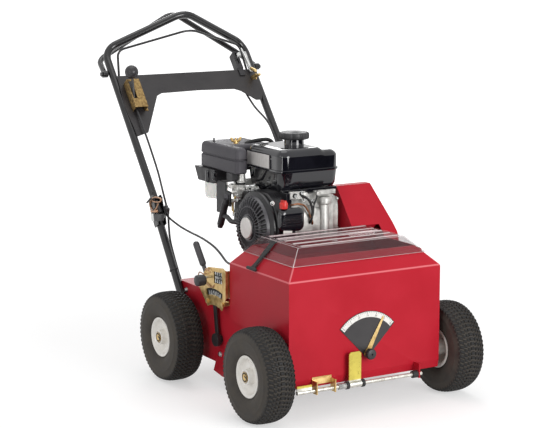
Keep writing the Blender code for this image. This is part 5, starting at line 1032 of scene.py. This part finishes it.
bail_half = [raked(-292, 787, -6), (-272, 1230.7, 955.5), (0, 1211.4, 1108.7)]
bail_path = bent(both_sides(bail_half), [40, 55, 40], 12)
eye = [(283, 11), (284, 11.8), (300, 11.8), (301, 11)]
eyes = [turned(eye, BAIL_PIVOT, (side, 0, 0), 28) for side in (-1, 1)]
dress("drive_bail", [carried(bail_path, oval(9.5, 9.5, 20), OUT_OF_SLOPE), *eyes], tube_black)
_, wire_y, wire_z = raked(0, 765, -4)
wire_half = [(-260, wire_y, wire_z), (-247, wire_y, wire_z), (-235, 1161, 990.8), (0, 1080.3, 1058.4)]
wire_path = bent(both_sides(wire_half), [6, 30, 80, 30, 6])
dress("engage_bail", [carried(wire_path, oval(4, 4, 14), (0, 1, -1))], tube_black)
spring_top, spring_low = np.array(raked(239.4, 824.9, 32)), np.array(raked(245, 746.1, 23.2))
dress("bail_spring", [
    turned([(0, 4.5), (1.5, 6.5), (78, 6.5), (79.5, 4.5)], spring_low, spring_top - spring_low, 24),
], zinc)

# Turned phenolic ball: black, polished by hand.
phenolic = finish("black_phenolic_ball", "#2B292B", "#201F21", 30, (0.30, 0.42), 3, 0.04)
ball_t = np.linspace(0.06, math.pi - 0.06, 28)
ball_profile = 22.5 * np.stack([-np.cos(ball_t), np.sin(ball_t)], -1)
dress("traction_lever", [
    turned(ball_profile, raked(-243, 733.1, 82.9), np.array(raked(0, 14, 11.5)) - raked(0, 0, 0), 40),
    turned([(-246.5, 8.5), (-229.5, 8.5)], raked(0, 647, 27), ACROSS, 28),
    capsule(raked(-238, 647, 27), raked(-241.5, 725.1, 76), 4),
], phenolic, 0.6)


# Cables. Steel wire in a black nylon sheath, 7 mm outside, led along the tubes. The drive and throttle cables
# cross the fold; they are taken off their bodies and fixed where they stand in the frame.

# Extruded nylon sheath: black with a soft shine.
sheath = finish("extruded_nylon_sheath", "#29282A", "#1E1D1F", 20, (0.30, 0.42), 3, 0.05)
traction_route = [raked(-238, 638, 27), raked(-238, 530, 28), raked(-236, 464.8, 24.4),
                  raked(-234, 384.5, 17.5), (-230, 853.1, 565.1), (-226, 833.7, 514.9), (-226, 820.2, 487.3),
                  (-228, 810.4, 439.6), (-230, 793.5, 389.7), (-230, 735, 295), (-226, 714, 266),
                  (-224, 702, 258), (-224, 690.8, 258)]
on_tube = ((210, 765.5, -1), (210, 755, -1), (210, 706, -7), (224, 625, -4), (240, 540, 18), (240, 440, 21.2),
           (236, 340, 20.4), (228, 250, 18.4))
throttle_route = [raked(*row) for row in on_tube]
throttle_route += [(190, 815, 480), (100, 840, 500), (10, 840, 535), (-30, 780, 562), (-36, 700, 580),
                   (-52, 668, 594), (-78, 650, 605), (-80, 640, 606), (-80, 628.8, 606)]
engage_route = [(-245, 815.2, 496.1), (-243, 780.3, 480.1), (-243, 738.7, 470.2), (-243, 690.7, 461.5),
                (-243, 636.6, 455.7), (-243, 570.3, 450.5), (-243, 518.2, 443.2), (-243, 473.4, 433.4),
                (-244, 435.5, 419.6), (-247, 401.2, 406), (-250, 375, 402), (-253, 354.5, 405),
                (-253, 344.8, 406)]
for name, route, up in (("traction_cable", traction_route, ACROSS),
                        ("throttle_cable", throttle_route, (0.5, 0.3, -0.8)),
                        ("engage_cable", engage_route, ACROSS)):
    cable = dress(name, [carried(eased(route), oval(3.5, 3.5, 14), up)], sheath)
    if name != "engage_cable":
        cable.parent = None
        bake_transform(cable)


# Fittings of the cables. A ring and a hook of copper-washed wire, a small bracket with its block and a tie by
# the fold on the right, a short cable up the tube, and plated fittings at the throttle's foot.

make("fold_wire", [
    piped([(-285, 823.8, 537.8), (-287, 788, 549.4), (-285, 752.6, 548), (-284, 765, 537), (-287, 800, 533),
           (-285, 823.8, 537.8)], 2.2, ACROSS),
    piped([(-285, 823.8, 537.8), (-285, 831.5, 520.3), (-285, 823, 508), (-285, 803.3, 504.9), (-285, 785, 514),
           (-285, 774.2, 528.7)], 2.2, ACROSS),
    capsule((-285, 824, 497.5), (-285, 779, 504.5), 4.8),
], copper_wire, "base")
make("fold_bracket", [
    slab([(825.2, 490), (803.6, 493), (797.1, 469.9), (819, 466)], 0, -287, -284),
], zinc, "base", edge=0.6)
make("fold_block", [
    slab([(801, 492.5), (741, 501), (740.4, 478.7), (796, 470)], 0, -290, -280),
], nylon, "base", edge=2)
make("upright_cable", [
    piped([(-274.5, 960, 678), (-274.5, 948, 667), (-274.5, 912.5, 635), (-274.5, 870, 594.8),
           (-274.5, 833, 556)], 2.4, ACROSS),
], sheath, "handle")
tie_at = np.array(leaning(-268, 48.5, 0))
make("cable_tie", [
    turned([(-2.5, 14.2), (2.5, 14.2)], tie_at, (0, math.cos(LEAN), math.sin(LEAN)), 28),
], nylon, "base", edge=0.6)
make("throttle_fittings", [
    capsule((245, 1103.5, 914.8), (245, 1060, 907.5), 5.8),
    capsule((245, 1034, 899), (245, 1089.7, 881), 5),
    slab([(1055.1, 880.4), (1117.7, 868.3), (1115, 880), (1060, 900)], 0, 242, 245),
], gold_zinc, "handle", edge=0.6)
make("throttle_strip", [capsule((235, 1148.8, 981.7), (235, 1086.1, 923.5), 2.8)], zinc, "handle")


# Studio. A pale floor that keeps a soft shadow, a broad lamp over the front and weaker ones above, behind and
# on each side, and a camera at the photograph's angle. Places are in the frame's metres.

floor_mesh = bpy.data.meshes.new("studio_floor")
floor_mesh.from_pydata([(-40, -40, 0), (40, -40, 0), (40, 40, 0), (-40, 40, 0)], [], [(0, 1, 2, 3)])
floor = bpy.data.objects.new("studio_floor", floor_mesh)
bpy.context.scene.collection.objects.link(floor)
paper = bpy.data.materials.new("white_paper_sweep")
paper.use_nodes = True
tree = paper.node_tree
tree.nodes.clear()


def seen_directly(tree):
    """Outputs that are 1 for camera rays, and 1 for camera, glossy and transmission rays."""
    rays = add(tree, "LightPath").outputs
    seen = add(tree, "Math", {0: rays["Is Camera Ray"], 1: rays["Is Glossy Ray"]}, operation="MAXIMUM")
    seen = add(tree, "Math", {0: seen.outputs["Value"], 1: rays["Is Transmission Ray"]}, operation="MAXIMUM")
    return rays["Is Camera Ray"], seen.outputs["Value"]


by_camera, seen = seen_directly(tree)
FLOOR_GLOW = 0.50
floor_at = add(tree, "TexCoord").outputs["Object"]
away = add(tree, "VectorMath", {0: floor_at}, operation="LENGTH").outputs["Value"]
paper_glow = add(tree, "MapRange", {"Value": away, "From Min": 1.0, "From Max": 4.5, "To Min": FLOOR_GLOW,
                                    "To Max": 1.0})
# Well in front of the machine, polished paint mirrors the studio's dark floor; the camera sees paper there too.
towards = add(tree, "SeparateXYZ", {"Vector": floor_at}).outputs["Y"]
on_paper = add(tree, "MapRange", {"Value": towards, "From Min": -2.7, "From Max": -2.2}).outputs["Result"]
on_paper = add(tree, "Math", {0: on_paper, 1: by_camera}, operation="MAXIMUM").outputs["Value"]
glow = add(tree, "Math", {0: seen, 1: paper_glow.outputs["Result"]}, operation="MULTIPLY")
glow = add(tree, "Math", {0: glow.outputs["Value"], 1: on_paper}, operation="MULTIPLY")
ground = add(tree, "MixRGB", {"Fac": on_paper, "Color1": linear("#1C1C1C"), "Color2": linear("#C9C9C9")})
lit = add(tree, "BsdfDiffuse", {"Color": ground.outputs["Color"]})
shine = add(tree, "Emission", {"Color": linear("#FFFFFF"), "Strength": glow.outputs["Value"]})
both = add(tree, "AddShader", {0: lit.outputs["BSDF"], 1: shine.outputs["Emission"]})
add(tree, "OutputMaterial", {"Surface": both.outputs["Shader"]})
floor_mesh.materials.append(paper)

world = bpy.data.worlds.new("studio_room")
bpy.context.scene.world = world
world.use_nodes = True
tree = world.node_tree
tree.nodes.clear()
ROOM_LEVEL = 0.55
level = add(tree, "MapRange", {"Value": seen_directly(tree)[1], "To Min": ROOM_LEVEL, "To Max": 1.0})
room = add(tree, "Background", {"Color": linear("#FFFFFF"), "Strength": level.outputs["Result"]})
add(tree, "OutputWorld", {"Surface": room.outputs["Background"]})

TARGET = Vector((-0.0128, -0.077285, 0.5132))
for name, place, size, power in (("key_softbox", (0.8, -4.3, 1.25), (2.2, 2.2), 112),
                                 ("top_softbox", (0.0, 0.4, 3.6), (2.6, 2.6), 26),
                                 ("side_strip", (-3.5, -2.2, 1.0), (0.5, 2.0), 20),
                                 ("left_softbox", (-4.2, -0.4, 2.4), (1.8, 1.8), 9),
                                 ("back_softbox", (1.8, 3.8, 2.6), (2.0, 2.0), 45)):
    lamp = bpy.data.lights.new(name, "AREA")
    lamp.shape = "ELLIPSE" if size[0] == size[1] else "RECTANGLE"
    lamp.size, lamp.size_y = size
    lamp.energy = power
    holder = bpy.data.objects.new(name, lamp)
    holder.location = place
    holder.rotation_euler = (TARGET - Vector(place)).to_track_quat("-Z", "Y").to_euler()
    bpy.context.scene.collection.objects.link(holder)

camera = bpy.data.cameras.new("camera")
camera.sensor_width = 36.0
camera.lens = 111.03
eye = bpy.data.objects.new("camera", camera)
eye.location = (-2.6981, -4.590185, 1.4352)
eye.rotation_euler = (TARGET - eye.location).to_track_quat("-Z", "Y").to_euler()
bpy.context.scene.collection.objects.link(eye)
bpy.context.scene.camera = eye
bpy.context.scene.view_settings.view_transform = "Standard"
